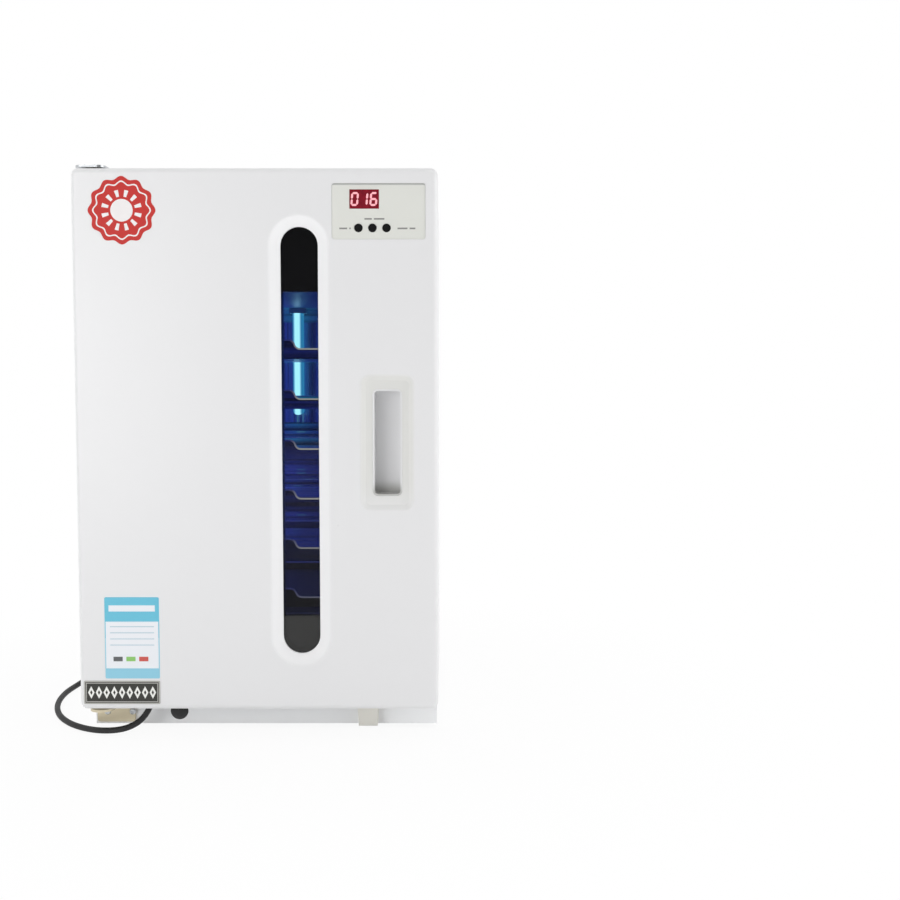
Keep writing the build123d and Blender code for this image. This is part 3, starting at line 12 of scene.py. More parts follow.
import bmesh
import bpy
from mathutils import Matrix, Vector


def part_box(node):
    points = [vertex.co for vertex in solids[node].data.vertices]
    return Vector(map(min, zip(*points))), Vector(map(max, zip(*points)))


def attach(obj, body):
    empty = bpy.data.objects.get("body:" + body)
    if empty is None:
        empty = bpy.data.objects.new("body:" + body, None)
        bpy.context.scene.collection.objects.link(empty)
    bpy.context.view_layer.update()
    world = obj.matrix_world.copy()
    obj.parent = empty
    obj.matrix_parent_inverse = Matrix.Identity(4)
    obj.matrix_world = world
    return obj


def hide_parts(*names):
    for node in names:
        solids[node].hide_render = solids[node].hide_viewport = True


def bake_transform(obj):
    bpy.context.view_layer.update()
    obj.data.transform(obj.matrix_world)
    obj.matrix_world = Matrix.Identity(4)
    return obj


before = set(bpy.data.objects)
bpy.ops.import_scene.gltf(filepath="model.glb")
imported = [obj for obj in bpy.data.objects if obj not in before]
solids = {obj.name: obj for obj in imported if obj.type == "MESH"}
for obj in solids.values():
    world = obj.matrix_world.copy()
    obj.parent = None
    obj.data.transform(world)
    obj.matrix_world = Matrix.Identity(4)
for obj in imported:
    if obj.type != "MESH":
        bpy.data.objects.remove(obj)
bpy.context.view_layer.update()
MM = 0.001

# %% [markdown]
# ## Camera
#
# The camera stands where the picture was taken: a little over a metre in front of the door, off to
# the right and tipped slightly down. A fixed lens and place, written as real sizes, are easier to
# check against the picture than a camera that tracks an object.

# %% Set the camera
door_low, door_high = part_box("door_shell")
FACE_Y = door_low.y
CAMERA_BEFORE_FACE = 1.100
CAMERA_RIGHT = 0.1865
CAMERA_UP = 0.352
CAMERA_TIP = 3.475
LENS_MM = 45.75


def link(thing):
    """Put a new object in the scene."""
    bpy.context.scene.collection.objects.link(thing)
    return thing


camera_data = bpy.data.cameras.new("camera")
camera_data.lens = LENS_MM
camera = link(bpy.data.objects.new("camera", camera_data))
camera.location = (CAMERA_RIGHT, FACE_Y - CAMERA_BEFORE_FACE, CAMERA_UP)
camera.rotation_euler = (math.radians(90 - CAMERA_TIP), 0, 0)
bpy.context.scene.camera = camera
bpy.context.scene.view_settings.view_transform = "Standard"
print("camera", [round(x, 3) for x in camera.location])

# %% [markdown]
# ## A shader written as sums
#
# Every finish here is worked out from a point's place on the object. Node graphs for that are long
# to write link by link, so one small class wraps a socket and lets Python's own operators add the
# Math nodes. The second class holds a material and the few node types that the finishes share.

# %% Shader sockets as values
class Value:
    """A number, colour or vector on a shader socket."""

    def __init__(self, finish, socket):
        self.finish = finish
        self.socket = socket

    def __add__(self, other):
        return self.finish.math("ADD", self, other)

    def __sub__(self, other):
        return self.finish.math("SUBTRACT", self, other)

    def __rsub__(self, other):
        return self.finish.math("SUBTRACT", other, self)

    def __mul__(self, other):
        return self.finish.math("MULTIPLY", self, other)

    def __truediv__(self, other):
        return self.finish.math("DIVIDE", self, other)

    def __rtruediv__(self, other):
        return self.finish.math("DIVIDE", other, self)

    def __pow__(self, power):
        return self.finish.math("POWER", self, power)

    def __abs__(self):
        return self.finish.math("ABSOLUTE", self)

    def __lt__(self, limit):
        return self.finish.math("LESS_THAN", self, limit)

    def __gt__(self, limit):
        return self.finish.math("GREATER_THAN", self, limit)

    __radd__ = __add__
    __rmul__ = __mul__


# %% A finish and its nodes
def srgb(red, green, blue):
    """A screen colour, 0 to 255, as the linear colour that shaders use."""
    levels = [channel / 255 for channel in (red, green, blue)]
    return (*[x / 12.92 if x <= 0.04045 else ((x + 0.055) / 1.055) ** 2.4 for x in levels], 1.0)


def shade(colour, factor):
    """A linear colour made darker or lighter."""
    return (*[channel * factor for channel in colour[:3]], 1.0)


class Graph:
    """A shader tree and the nodes that are added to it."""

    def __init__(self, tree, coordinates):
        self.tree = tree
        self.spot = self.node("ShaderNodeTexCoord", out=coordinates)

    def feed(self, socket, value):
        if isinstance(value, Value):
            self.tree.links.new(value.socket, socket)
        else:
            socket.default_value = value

    def node(self, kind, settings=None, inputs=None, out=0):
        made = self.tree.nodes.new(kind)
        for key, value in (settings or {}).items():
            setattr(made, key, value)
        for key, value in (inputs or {}).items():
            self.feed(made.inputs[key], value)
        return Value(self, made.outputs[out])

    def math(self, operation, *values):
        return self.node("ShaderNodeMath", {"operation": operation}, dict(enumerate(values)))

    def least(self, first, second):
        return self.math("MINIMUM", first, second)

    def most(self, *values):
        return reduce(lambda first, second: self.math("MAXIMUM", first, second), values)

    def mix(self, share, first, second):
        return self.node("ShaderNodeMix", {"data_type": "RGBA"}, {0: share, 6: first, 7: second}, out=2)

    def parts(self, vector):
        split = self.node("ShaderNodeSeparateXYZ", inputs={0: vector}).socket.node
        return [Value(self, output) for output in split.outputs]

    def axes(self):
        return self.parts(self.spot)

    def noise(self, scale, detail=2.0, stretch=(1.0, 1.0, 1.0)):
        spot = self.node("ShaderNodeMapping", inputs={"Vector": self.spot, "Scale": stretch})
        inputs = {"Vector": spot, "Scale": scale, "Detail": detail}
        return self.node("ShaderNodeTexNoise", inputs=inputs)

    def ramp(self, value, low, high):
        """0 below the low limit, 1 above the high one and smooth between them."""
        limits = {"Value": value, "From Min": low, "From Max": high}
        return self.node("ShaderNodeMapRange", {"interpolation_type": "SMOOTHSTEP"}, limits)

    def patch(self, low, high, radius, edge):
        """1 inside a rectangle with round corners in X and Z, fading to 0 over so wide an edge."""
        x, _, z = self.axes()
        over_x = abs(x - (low[0] + high[0]) / 2) - ((high[0] - low[0]) / 2 - radius)
        over_z = abs(z - (low[1] + high[1]) / 2) - ((high[1] - low[1]) / 2 - radius)
        corner = (self.most(over_x, 0.0) ** 2 + self.most(over_z, 0.0) ** 2) ** 0.5
        past_edge = corner + self.least(self.most(over_x, over_z), 0.0) - radius
        return 1 - self.ramp(past_edge, -edge / 2, edge / 2)


TURNED_AWAY, TURNED_FRONT = 0.2, 0.9


class Finish(Graph):
    """A procedural material on Object coordinates."""

    def __init__(self, name, constants):
        self.material = bpy.data.materials.new(name)
        self.material.use_nodes = True
        super().__init__(self.material.node_tree, "Object")
        self.shader = self.tree.nodes["Principled BSDF"]
        for label, value in constants.items():
            self.shader.inputs[label].default_value = value

    def set(self, **values):
        for label, value in values.items():
            self.feed(self.shader.inputs[label.replace("_", " ")], value)
        return self

    def bump(self, height, depth):
        """Raise the surface by height, 0 to 1, times a depth in metres."""
        raised = self.node("ShaderNodeBump", inputs={"Distance": depth, "Height": height})
        return self.set(Normal=raised)

    def facing(self):
        """The surface's direction as X, Y and Z in the object's own axes."""
        return self.parts(self.node("ShaderNodeTexCoord", out="Normal"))

    def front_share(self):
        """1 on faces that look to the front, 0 on those that look to the sides or back."""
        return self.ramp(-1 * self.facing()[1], TURNED_AWAY, TURNED_FRONT)


def within(value, low, high):
    """1 between two limits, else 0."""
    return (value > low) * (value < high)


def coat(finish, *nodes):
    """Give CAD solids a finish."""
    for name in nodes:
        materials = solids[name].data.materials
        materials.clear()
        materials.append(finish.material)


print("white", [round(channel, 3) for channel in srgb(236, 236, 238)])

# %% [markdown]
# ## Plain coated and moulded surfaces
#
# Powder-coated steel has a fine orange peel, moulded plastic a finer grain and a slow change of
# gloss, rubber a coarse dull grain. They differ only in numbers, so one function makes them all:
# a cloudy colour, a roughness that wanders, and a bump from fine noise. On the plinth's faces that
# look to the front, a lighter white is painted as painted light that lifts the shade under the door.

# %% Grained finishes
CLOUD_SCALE, GLOSS_SCALE = 9.0, 70.0
GLOSS_LOW, GLOSS_RANGE = 0.85, 0.30
STEEL_WHITE = srgb(235, 236, 238)
PLINTH_PAINTED_LIGHT = srgb(250, 251, 252)
SATIN_WHITE = srgb(236, 237, 238)
DULL, PART_METAL, METAL = {"Specular IOR Level": 0.2}, {"Metallic": 0.55}, {"Metallic": 1.0}


def grained(name, colour, roughness, grain, depth, clouds=0.02, constants=None):
    """A surface with a fine grain of so many bumps a metre, so deep in metres."""
    finish = Finish(name, {"Roughness": roughness, **(constants or {})})
    cloud = finish.noise(CLOUD_SCALE, detail=3.0)
    gloss = finish.noise(GLOSS_SCALE)
    finish.set(Base_Color=finish.mix(cloud, shade(colour, 1 - clouds), shade(colour, 1 + clouds)))
    finish.set(Roughness=roughness * (GLOSS_LOW + GLOSS_RANGE * gloss))
    return finish.bump(finish.noise(grain, detail=1.0), depth)


def satin(name):
    """White plastic with a dull, very fine grain."""
    return grained(name, SATIN_WHITE, 0.45, 1400.0, 0.00002)


white_steel = grained("white_powder_coat", STEEL_WHITE, 0.42, 900.0, 0.00003)
plinth_steel = grained("white_plinth_coat", STEEL_WHITE, 0.42, 900.0, 0.00003)
# Painted light: faces that look to the front get a lighter white, lifting the shade under the door.
plinth_steel.set(Base_Color=plinth_steel.mix(plinth_steel.front_share(), STEEL_WHITE, PLINTH_PAINTED_LIGHT))
white_nylon = grained("white_nylon", srgb(232, 230, 222), 0.50, 1100.0, 0.00004)
black_plastic = grained("black_plastic", srgb(19, 19, 21), 0.34, 1500.0, 0.00002, 0.10)
button_black = grained("button_black", srgb(6, 6, 7), 0.50, 1500.0, 0.00002, 0.10, DULL)
black_rubber = grained("black_rubber", srgb(24, 24, 25), 0.62, 2200.0, 0.00005, 0.15)
grey_rubber = grained("grey_seal_rubber", srgb(176, 178, 180), 0.62, 1800.0, 0.00005, 0.05)
ceramic = grained("lamp_base_ceramic", srgb(233, 229, 220), 0.28, 500.0, 0.00002)
cream_zinc = grained("cream_zinc_plate", srgb(214, 203, 176), 0.36, 1300.0, 0.00003, 0.06, PART_METAL)
brass = grained("plated_brass", srgb(201, 186, 140), 0.28, 1700.0, 0.00002, 0.08, METAL)

coat(white_steel, "cabinet_shell", "back_panel", "base_pan")
coat(plinth_steel, "plinth")
coat(satin("front_frame_satin"), "front_frame")
coat(white_nylon, "door_rest", "hinge_bush_top", "hinge_bush_bottom")
coat(black_plastic, "power_inlet", "reed_switch", "tact_switches")
coat(button_black, "button_left", "button_middle", "button_right")
coat(black_rubber, "rubber_feet", "plinth_bumper", "cable_grommet", "cable_gland", "door_cable")
coat(grey_rubber, "door_gasket")
coat(ceramic, "lamp_base", "lamp_holder")
coat(cream_zinc, "bottom_hinge_bracket")
coat(brass, "inlet_pins")
print("grained finishes", len([m for m in bpy.data.materials if m.use_nodes]))

# %% [markdown]
# ## The door's moulding
#
# The door is glossy white plastic. A painted highlight makes the bevel round its window a touch
# whiter. Painted shade makes the dished pull greyer, most of all towards the top, where the dish is
# deepest, and in the finger pocket painted shade gathers at the foot. All are worked out from the
# place on the door, so the grain and gloss run on unbroken.

# %% Door moulding and finger pocket
DOOR_WHITE = srgb(235, 235, 236)
BEVEL_PAINTED_HIGHLIGHT = srgb(247, 247, 248)
DISH_PAINTED_SHADE = srgb(227, 227, 224)
POCKET_PAINTED_SHADE = srgb(198, 198, 195)
pane_low, pane_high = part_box("window_pane")
BEVEL_PAST_PANE = 4.5 * MM
BEVEL_LOW = (pane_low.x - BEVEL_PAST_PANE, pane_low.z - BEVEL_PAST_PANE)
BEVEL_HIGH = (pane_high.x + BEVEL_PAST_PANE, pane_high.z + BEVEL_PAST_PANE)
BEVEL_RADIUS = (BEVEL_HIGH[0] - BEVEL_LOW[0]) / 2
DISH_LOW = (door_high.x - 74.5 * MM, door_high.z - 327.0 * MM)
DISH_HIGH = (door_high.x - 23.5 * MM, door_high.z - 197.0 * MM)
DISH_RADIUS = 9.0 * MM
SOFT_EDGE = 4.0 * MM
DISH_FADE = 30.0 * MM
DISH_FOOT_SHARE = 0.4
POCKET_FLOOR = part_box("handle_cup")[0].z + 8.0 * MM
POCKET_SHADE = 13.0 * MM


def gloss_moulding(name):
    """Glossy white plastic with a very fine grain."""
    return grained(name, DOOR_WHITE, 0.30, 260.0, 0.000012, 0.008)


door_moulding = gloss_moulding("white_gloss_moulding")
# Painted highlight: the bevel round the window is a whiter white.
on_bevel = door_moulding.patch(BEVEL_LOW, BEVEL_HIGH, BEVEL_RADIUS, SOFT_EDGE)
in_dish = door_moulding.patch(DISH_LOW, DISH_HIGH, DISH_RADIUS, SOFT_EDGE)
deepest = door_moulding.ramp(door_moulding.axes()[2], DISH_LOW[1], DISH_LOW[1] + DISH_FADE)
door_colour = door_moulding.mix(on_bevel, DOOR_WHITE, BEVEL_PAINTED_HIGHLIGHT)
# Painted shade: the dish is greyer, most of all towards its deep top.
dish_shade_share = in_dish * (DISH_FOOT_SHARE + (1 - DISH_FOOT_SHARE) * deepest)
door_moulding.set(Base_Color=door_moulding.mix(dish_shade_share, door_colour, DISH_PAINTED_SHADE))
coat(door_moulding, "door_shell")

pocket = gloss_moulding("finger_pocket_moulding")
# Painted shade: the finger pocket darkens towards its foot.
unshaded = pocket.ramp(pocket.axes()[2], POCKET_FLOOR, POCKET_FLOOR + POCKET_SHADE)
pocket.set(Base_Color=pocket.mix(unshaded, POCKET_PAINTED_SHADE, DOOR_WHITE))
coat(pocket, "handle_cup")
print("dish", [round(value, 3) for value in (*DISH_LOW, *DISH_HIGH)])

# %% [markdown]
# ## Metals
#
# Plated steel shows faint drawn lines. Noise stretched along one axis gives them: squeezed across
# the lines and long along them, it feeds both the roughness and a very shallow bump.

# %% Drawn and plated metals
LINE_DARK, LINE_BRIGHT = 0.86, 1.06
LINE_GLOSS = 0.22
LINE_DEPTH = 0.000015


def drawn_metal(name, colour, roughness, stretch):
    """Metal with drawn lines; stretch is small along the lines and large across them."""
    finish = Finish(name, METAL)
    lines = finish.noise(1.0, detail=4.0, stretch=stretch)
    finish.set(Base_Color=finish.mix(lines, shade(colour, LINE_DARK), shade(colour, LINE_BRIGHT)))
    finish.set(Roughness=roughness + LINE_GLOSS * (lines - 0.5))
    return finish.bump(lines, LINE_DEPTH)


bright_zinc = drawn_metal("bright_zinc", srgb(206, 209, 212), 0.30, (160.0, 160.0, 2200.0))
plate_zinc = drawn_metal("plate_zinc", srgb(200, 203, 206), 0.34, (2400.0, 30.0, 2400.0))
ballast_can = drawn_metal("ballast_can", srgb(178, 182, 186), 0.40, (8.0, 900.0, 900.0))
magnet_nickel = drawn_metal("magnet_nickel", srgb(196, 196, 194), 0.30, (700.0, 700.0, 700.0))

coat(bright_zinc, "top_hinge_pin", "bottom_hinge_pin")
coat(bright_zinc, "hinge_screws", "back_screws", "door_screws", "board_screws")
coat(plate_zinc, "top_hinge_plate")
coat(ballast_can, "ballast")
coat(magnet_nickel, "door_magnet")
print("metals", bright_zinc.material.name, plate_zinc.material.name)

# %% [markdown]
# ## The lit chamber
#
# Behind the tinted pane the lamp turns bright steel blue: cyan beside the tubes, deep blue further
# off, nearly black at the foot. Real lamplight through a dark pane would need many samples, so the
# lamplight is painted into the steel's finish as a glow: it falls off with the distance from the
# lamp's line, breaks up into streaks, is weaker in the shade to the right of the lamp, and has
# painted glints under the lamp.

# %% Lamp line and glowing steel
lamp_low, lamp_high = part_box("lamp_tubes")
LAMP_Y = (lamp_low.y + lamp_high.y) / 2
liner_low, liner_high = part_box("inner_liner")
CHAMBER_FOOT = liner_low.z
CHAMBER_MIDDLE = (liner_low + liner_high) / 2
BLACK = (0.0, 0.0, 0.0, 1.0)
NEAR_GLOW = (0.03, 0.60, 1.0, 1.0)
FAR_GLOW = (0.045, 0.09, 0.80, 1.0)
GLINT = (0.16, 0.62, 0.85, 1.0)
GLINT_HALF = 7.0 * MM
GLINT_FROM, GLINT_FULL = 0.57, 0.66
STREAK_WIDTH = 0.33
STREAK_FROM, STREAK_FULL = 0.38, 0.62
BETWEEN_STREAKS = 0.20
FAR_LEVEL = 0.55
FOOT_LOSS, FOOT_POWER = 0.92, 5
OPEN_SIDE, SHADE_LOSS = 1.15, 0.50
NEAR_POWER = 8
FRONT_LOSS = 0.25
SHADE_FROM, SHADE_FULL, SHADE_FADES, SHADE_ENDS = -16.0 * MM, 18.0 * MM, 40.0 * MM, 120.0 * MM


def lamp_distance(finish):
    """Distance of a shaded point from the lamp's line, in metres."""
    x, y, z = finish.axes()
    below = finish.most(lamp_low.z - z, 0.0)
    return (x * x + (y - LAMP_Y) * (y - LAMP_Y) + below * below) ** 0.5


def near_foot(finish):
    """0 level with the lamp's lower end and above, 1 at the chamber's floor."""
    return 1 - finish.ramp(finish.axes()[2], CHAMBER_FOOT, lamp_low.z)


def all_lit(finish):
    """No part of the glow is lost."""
    return 0.0


def tray_shade(finish):
    """Share of the glow that a tray's front loses, more and more towards the chamber's foot."""
    return finish.front_share() * (FRONT_LOSS + (1 - FRONT_LOSS) * near_foot(finish))


def outer_faces(finish):
    """1 on the liner's outer faces, which look away from the chamber's middle."""
    return sum((c - p) * n for c, p, n in zip(CHAMBER_MIDDLE, finish.axes(), finish.facing())) < 0.0


def lit_steel(name, colour, roughness, reach, strength, stretch, shade_of=all_lit):
    """Drawn steel with lamplight painted on as a glow by its distance from the lamp; reach is where
    half the glow is left.
    """
    finish = drawn_metal(name, colour, roughness, stretch)
    x = finish.axes()[0]
    glow = 1 / (1 + (lamp_distance(finish) / reach) ** 2)
    streaks = finish.noise(1.0, detail=3.0, stretch=[STREAK_WIDTH * pull for pull in stretch])
    bands = finish.ramp(streaks, STREAK_FROM, STREAK_FULL)
    at_foot = near_foot(finish)
    shaded = shade_of(finish)
    beside = finish.ramp(x, SHADE_FROM, SHADE_FULL) * (1 - finish.ramp(x, SHADE_FADES, SHADE_ENDS))
    level = (FAR_LEVEL + (1 - FAR_LEVEL) * glow) * (BETWEEN_STREAKS + bands) * (1 - shaded)
    level = level * (1 - FOOT_LOSS * at_foot**FOOT_POWER) * (OPEN_SIDE - SHADE_LOSS * beside)
    tint = finish.mix(level, BLACK, finish.mix(glow**NEAR_POWER, FAR_GLOW, NEAR_GLOW))
    # Painted glints: where a streak passes under the lamp, a cyan highlight is painted on.
    under_lamp = 1 - finish.ramp(abs(x), GLINT_HALF / 2, GLINT_HALF)
    glint = under_lamp * finish.ramp(streaks, GLINT_FROM, GLINT_FULL) * (1 - at_foot) * (1 - shaded)
    finish.set(Emission_Color=finish.mix(glint, tint, GLINT))
    finish.shader.inputs["Emission Strength"].default_value = strength
    return finish


STEEL, BRIGHT_STEEL = srgb(84, 90, 108), srgb(150, 156, 170)
liner_steel = lit_steel("lit_liner_steel", STEEL, 0.38, 0.06, 1.1, (3.0, 3.0, 700.0), outer_faces)
rack_steel = lit_steel("lit_rack_steel", STEEL, 0.38, 0.06, 1.0, (900.0, 3.0, 900.0))
tray_steel = lit_steel("lit_tray_steel", STEEL, 0.32, 0.12, 1.5, (4.0, 700.0, 700.0), tray_shade)
TRAYS = [f"tray_{row}" for row in range(1, 7)]
coat(liner_steel, "inner_liner")
coat(rack_steel, "tray_rack_left", "tray_rack_right", "tray_ledges", "tray_stops")
coat(tray_steel, *TRAYS)
reflector_steel = lit_steel("lit_reflector", BRIGHT_STEEL, 0.26, 0.03, 1.0, (900.0, 900.0, 6.0))
coat(reflector_steel, "lamp_reflector")
print("lamp line", [round(value, 3) for value in (LAMP_Y, lamp_low.z, lamp_high.z)])

# %% [markdown]
# The lamp's glass glows nearly white with a blue-green cast: a bright core along each tube's middle
# and dimmer sides. Its rear tube stands in the front one's shade and is kept dim all over. The pane
# is dark smoked plastic. It is see-through by its alpha, because that is cheap to trace and keeps
# its meaning in an exported model. Above the chamber's mouth it turns black and nearly opaque, and
# at its lower end it is a lighter grey and less see-through; the alpha follows both.

# %% Lamp glass, smoked pane and red lens
LAMP_RADIUS = (lamp_high.x - lamp_low.x) / 2
LAMP_CORE = (0.40, 0.92, 1.0, 1.0)
LAMP_SIDE = (0.014, 0.16, 0.28, 1.0)
CORE_FULL, CORE_ENDS = 0.35 * LAMP_RADIUS, 0.85 * LAMP_RADIUS
GLASS_SIDE, GLASS_CORE = srgb(200, 230, 240), srgb(225, 245, 250)
lamp_glass = Finish("glowing_lamp_glass", {"Roughness": 0.12, "Emission Strength": 4.9})
lamp_x, lamp_y, _ = lamp_glass.axes()
core = 1 - lamp_glass.ramp(abs(lamp_x), CORE_FULL, CORE_ENDS)
near_tube = lamp_glass.ramp(LAMP_Y - lamp_y, -1 * MM, 3 * MM)
lamp_glass.set(Base_Color=lamp_glass.mix(core, GLASS_SIDE, GLASS_CORE))
lamp_glass.set(Emission_Color=lamp_glass.mix(near_tube * core, LAMP_SIDE, LAMP_CORE))
coat(lamp_glass, "lamp_tubes")

BLACK_TOP_FROM = 0.437
TINT_FROM = 0.122
TINT_EDGE = 2 * MM
FOOT_ALPHA, TINT_ALPHA, BLACK_TOP_ALPHA = 0.75, 0.56, 0.92
FOOT_GREY, SMOKE_DARK, SMOKE_PALE = srgb(64, 64, 63), srgb(11, 11, 12), srgb(17, 17, 19)
PANE_ROUGHNESS = 0.05
smoked_pane = Finish("smoked_pane", {"IOR": 1.49, **DULL})
smoke = smoked_pane.noise(14.0, detail=3.0)
pane_z = smoked_pane.axes()[2]
tinted = smoked_pane.ramp(pane_z, TINT_FROM - TINT_EDGE / 2, TINT_FROM + TINT_EDGE / 2)
black_top = smoked_pane.ramp(pane_z, BLACK_TOP_FROM, BLACK_TOP_FROM + TINT_EDGE)
density = FOOT_ALPHA + (TINT_ALPHA - FOOT_ALPHA) * tinted + (BLACK_TOP_ALPHA - TINT_ALPHA) * black_top
smoke_black = smoked_pane.mix(smoke, SMOKE_DARK, SMOKE_PALE)
smoked_pane.set(Base_Color=smoked_pane.mix(tinted, FOOT_GREY, smoke_black))
smoked_pane.set(Roughness=PANE_ROUGHNESS * (1 + smoke), Alpha=density)
coat(smoked_pane, "window_pane")

LENS_DARK, LENS_RED = srgb(58, 6, 14), srgb(92, 12, 22)
LENS_DIM, LENS_LIT = (0.14, 0.0, 0.012, 1.0), (0.48, 0.012, 0.035, 1.0)
red_lens = Finish("red_lens", {"Roughness": 0.16, "Emission Strength": 0.45})
lens_cloud = red_lens.noise(220.0)
red_lens.set(Base_Color=red_lens.mix(lens_cloud, LENS_DARK, LENS_RED))
red_lens.set(Emission_Color=red_lens.mix(lens_cloud, LENS_DIM, LENS_LIT))
coat(red_lens, "display_module")
print("glowing finishes", lamp_glass.material.name, red_lens.material.name)

# %% [markdown]
# The inner panel's collar reaches from the pane to the chamber. Inside it a very dark blue is
# painted as shade, and level with the chamber a little of the lamp's glow is painted on it.

# %% Inner panel with its dark collar
COLLAR_INSET = 3.0 * MM
COLLAR_LOW = (pane_low.x + COLLAR_INSET, pane_low.z + COLLAR_INSET)
COLLAR_HIGH = (pane_high.x - COLLAR_INSET, pane_high.z - COLLAR_INSET)
COLLAR_RADIUS = (COLLAR_HIGH[0] - COLLAR_LOW[0]) / 2
COLLAR_PAINTED_SHADE = srgb(18, 22, 44)
COLLAR_PAINTED_GLOW = (0.003, 0.03, 0.16, 1.0)
COLLAR_FOOT_LOSS = 0.9
SHARP_EDGE = 0.1 * MM
INWARD_FULL, INWARD_ENDS = 0.1, 0.5
inner_satin = satin("inner_panel_satin")
panel_z = inner_satin.axes()[2]
inside_collar = inner_satin.patch(COLLAR_LOW, COLLAR_HIGH, COLLAR_RADIUS, SHARP_EDGE)
collar = inside_collar * (1 - inner_satin.ramp(abs(inner_satin.facing()[1]), INWARD_FULL, INWARD_ENDS))
at_chamber = within(panel_z, TINT_FROM, BLACK_TOP_FROM) * (1 - COLLAR_FOOT_LOSS * near_foot(inner_satin))
# Painted shade: the collar's inside is a very dark blue.
inner_satin.set(Base_Color=inner_satin.mix(collar, SATIN_WHITE, COLLAR_PAINTED_SHADE))
# Painted light: a little of the lamp's glow on the collar, less towards the foot.
inner_satin.set(Emission_Color=inner_satin.mix(collar * at_chamber, BLACK, COLLAR_PAINTED_GLOW))
inner_satin.shader.inputs["Emission Strength"].default_value = 1.0
coat(inner_satin, "door_inner_panel")
print("collar", [round(value, 3) for value in (*COLLAR_LOW, *COLLAR_HIGH)])

# %% [markdown]
# ## Fascia film and board
#
# The fascia is a grey printed film with a painted shadow along its top edge, where the recess's top
# wall shades it, and a few short dashes and dots beside the buttons. The circuit board behind it
# never shows with the door shut, yet it gets its green mask with lighter tracks, drawn as thin lines
# of a grid.

# %% Fascia film
film_low, film_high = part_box("control_panel")
FILM_GREY = srgb(226, 227, 221)
TOP_SHADOW_GREY = srgb(186, 187, 184)
MARK_GREY = srgb(138, 138, 135)
TOP_SHADOW_H = 1.6
UPPER_ROW, LOWER_ROW = 33.4, 42.4
MARKS = [
    (7.0, 14.5, LOWER_ROW),
    (16.5, 18.0, LOWER_ROW),
    (31.0, 38.0, UPPER_ROW),
    (40.0, 50.0, UPPER_ROW),
    (62.5, 72.0, LOWER_ROW),
    (74.0, 79.5, LOWER_ROW),
]
MARK_HALF = 0.75
panel_film = grained("grey_panel_film", FILM_GREY, 0.48, 2600.0, 0.00002, 0.012)
film_x, _, film_z = panel_film.axes()
across_film = (film_x - film_low.x) / MM
down_film = (film_high.z - film_z) / MM
dashes = [
    within(across_film, start, end) * (abs(down_film - row) < MARK_HALF) for start, end, row in MARKS
]
# Painted shadow: a grey band along the film's top edge, under the recess's top wall.
film_colour = panel_film.mix(down_film < TOP_SHADOW_H, FILM_GREY, TOP_SHADOW_GREY)
panel_film.set(Base_Color=panel_film.mix(panel_film.most(*dashes), film_colour, MARK_GREY))
coat(panel_film, "control_panel")
print("film marks", len(MARKS))

# %% Circuit board
board = Finish("green_board", {"Roughness": 0.38})
board_x, _, board_z = board.axes()
TRACK_PITCH = 2.54 * MM
TRACK_EDGE = 0.40
TRACK_DEPTH = 0.00003
MASK_GREEN, TRACK_GREEN = srgb(18, 74, 44), srgb(42, 116, 70)


def tracks_along(axis, scale, gaps):
    """Lines a pitch apart, broken where noise of this scale is below the level for gaps."""
    on_line = abs(board.math("FRACT", axis / TRACK_PITCH) - 0.5) > TRACK_EDGE
    return on_line * (board.noise(scale) > gaps)


tracks = board.most(tracks_along(board_x, 90.0, 0.52), tracks_along(board_z, 70.0, 0.55))
board.set(Base_Color=board.mix(tracks, MASK_GREEN, TRACK_GREEN))
board.bump(tracks, TRACK_DEPTH)
coat(board, "control_board")
bare = [name for name, solid in solids.items() if not solid.data.materials[0].use_nodes]
print("bare of finish", bare)

# %% [markdown]
# ## Geometry Nodes as recipes
#
# What repeats or follows a path is grown by Geometry Nodes. A recipe is a tree with named inputs
# that ends in Realize Instances and Set Material. The helper below runs a recipe on a small seed
# mesh and keeps the result as a plain mesh, so that nothing depends on the modifier afterwards.

# %% Recipes
class Recipe:
    """A Geometry Nodes tree with named inputs."""

    def __init__(self, name, **inputs):
        self.tree = bpy.data.node_groups.new(name, "GeometryNodeTree")
        sockets = self.tree.interface
        sockets.new_socket("Geometry", in_out="INPUT", socket_type="NodeSocketGeometry")
        for label, kind in inputs.items():
            sockets.new_socket(label, in_out="INPUT", socket_type="NodeSocket" + kind)
        sockets.new_socket("Geometry", in_out="OUTPUT", socket_type="NodeSocketGeometry")
        self.given = self.tree.nodes.new("NodeGroupInput").outputs

    def node(self, kind, settings=None, inputs=None):
        made = self.tree.nodes.new(kind)
        for key, value in (settings or {}).items():
            setattr(made, key, value)
        for key, value in (inputs or {}).items():
            if isinstance(value, bpy.types.NodeSocket):
                self.tree.links.new(value, made.inputs[key])
            else:
                made.inputs[key].default_value = value
        return made.outputs

    def close(self, geometry, finish):
        whole = self.node("GeometryNodeRealizeInstances", inputs={"Geometry": geometry})[0]
        inputs = {"Geometry": whole, "Material": finish.material}
        shaded = self.node("GeometryNodeSetMaterial", inputs=inputs)[0]
        self.tree.links.new(shaded, self.tree.nodes.new("NodeGroupOutput").inputs[0])


def seed_mesh(name, points, edges=()):
    """A mesh of points, joined by edges where a path is wanted."""
    mesh = bpy.data.meshes.new(name)
    mesh.from_pydata([tuple(point) for point in points], list(edges), [])
    return mesh


def grow(name, seed, recipe, **sizes):
    """Run a recipe on a seed mesh and keep the result as a plain mesh object."""
    piece = link(bpy.data.objects.new(name, seed))
    modifier = piece.modifiers.new("recipe", "NODES")
    modifier.node_group = recipe.tree
    for item in recipe.tree.interface.items_tree:
        if item.in_out == "INPUT" and item.name in sizes:
            modifier[item.identifier] = sizes[item.name]
    grown = piece.evaluated_get(bpy.context.evaluated_depsgraph_get())
    mesh = bpy.data.meshes.new_from_object(grown)
    piece.modifiers.clear()
    piece.data = mesh
    mesh.name = name
    print(name, "faces", len(mesh.polygons))
    return piece
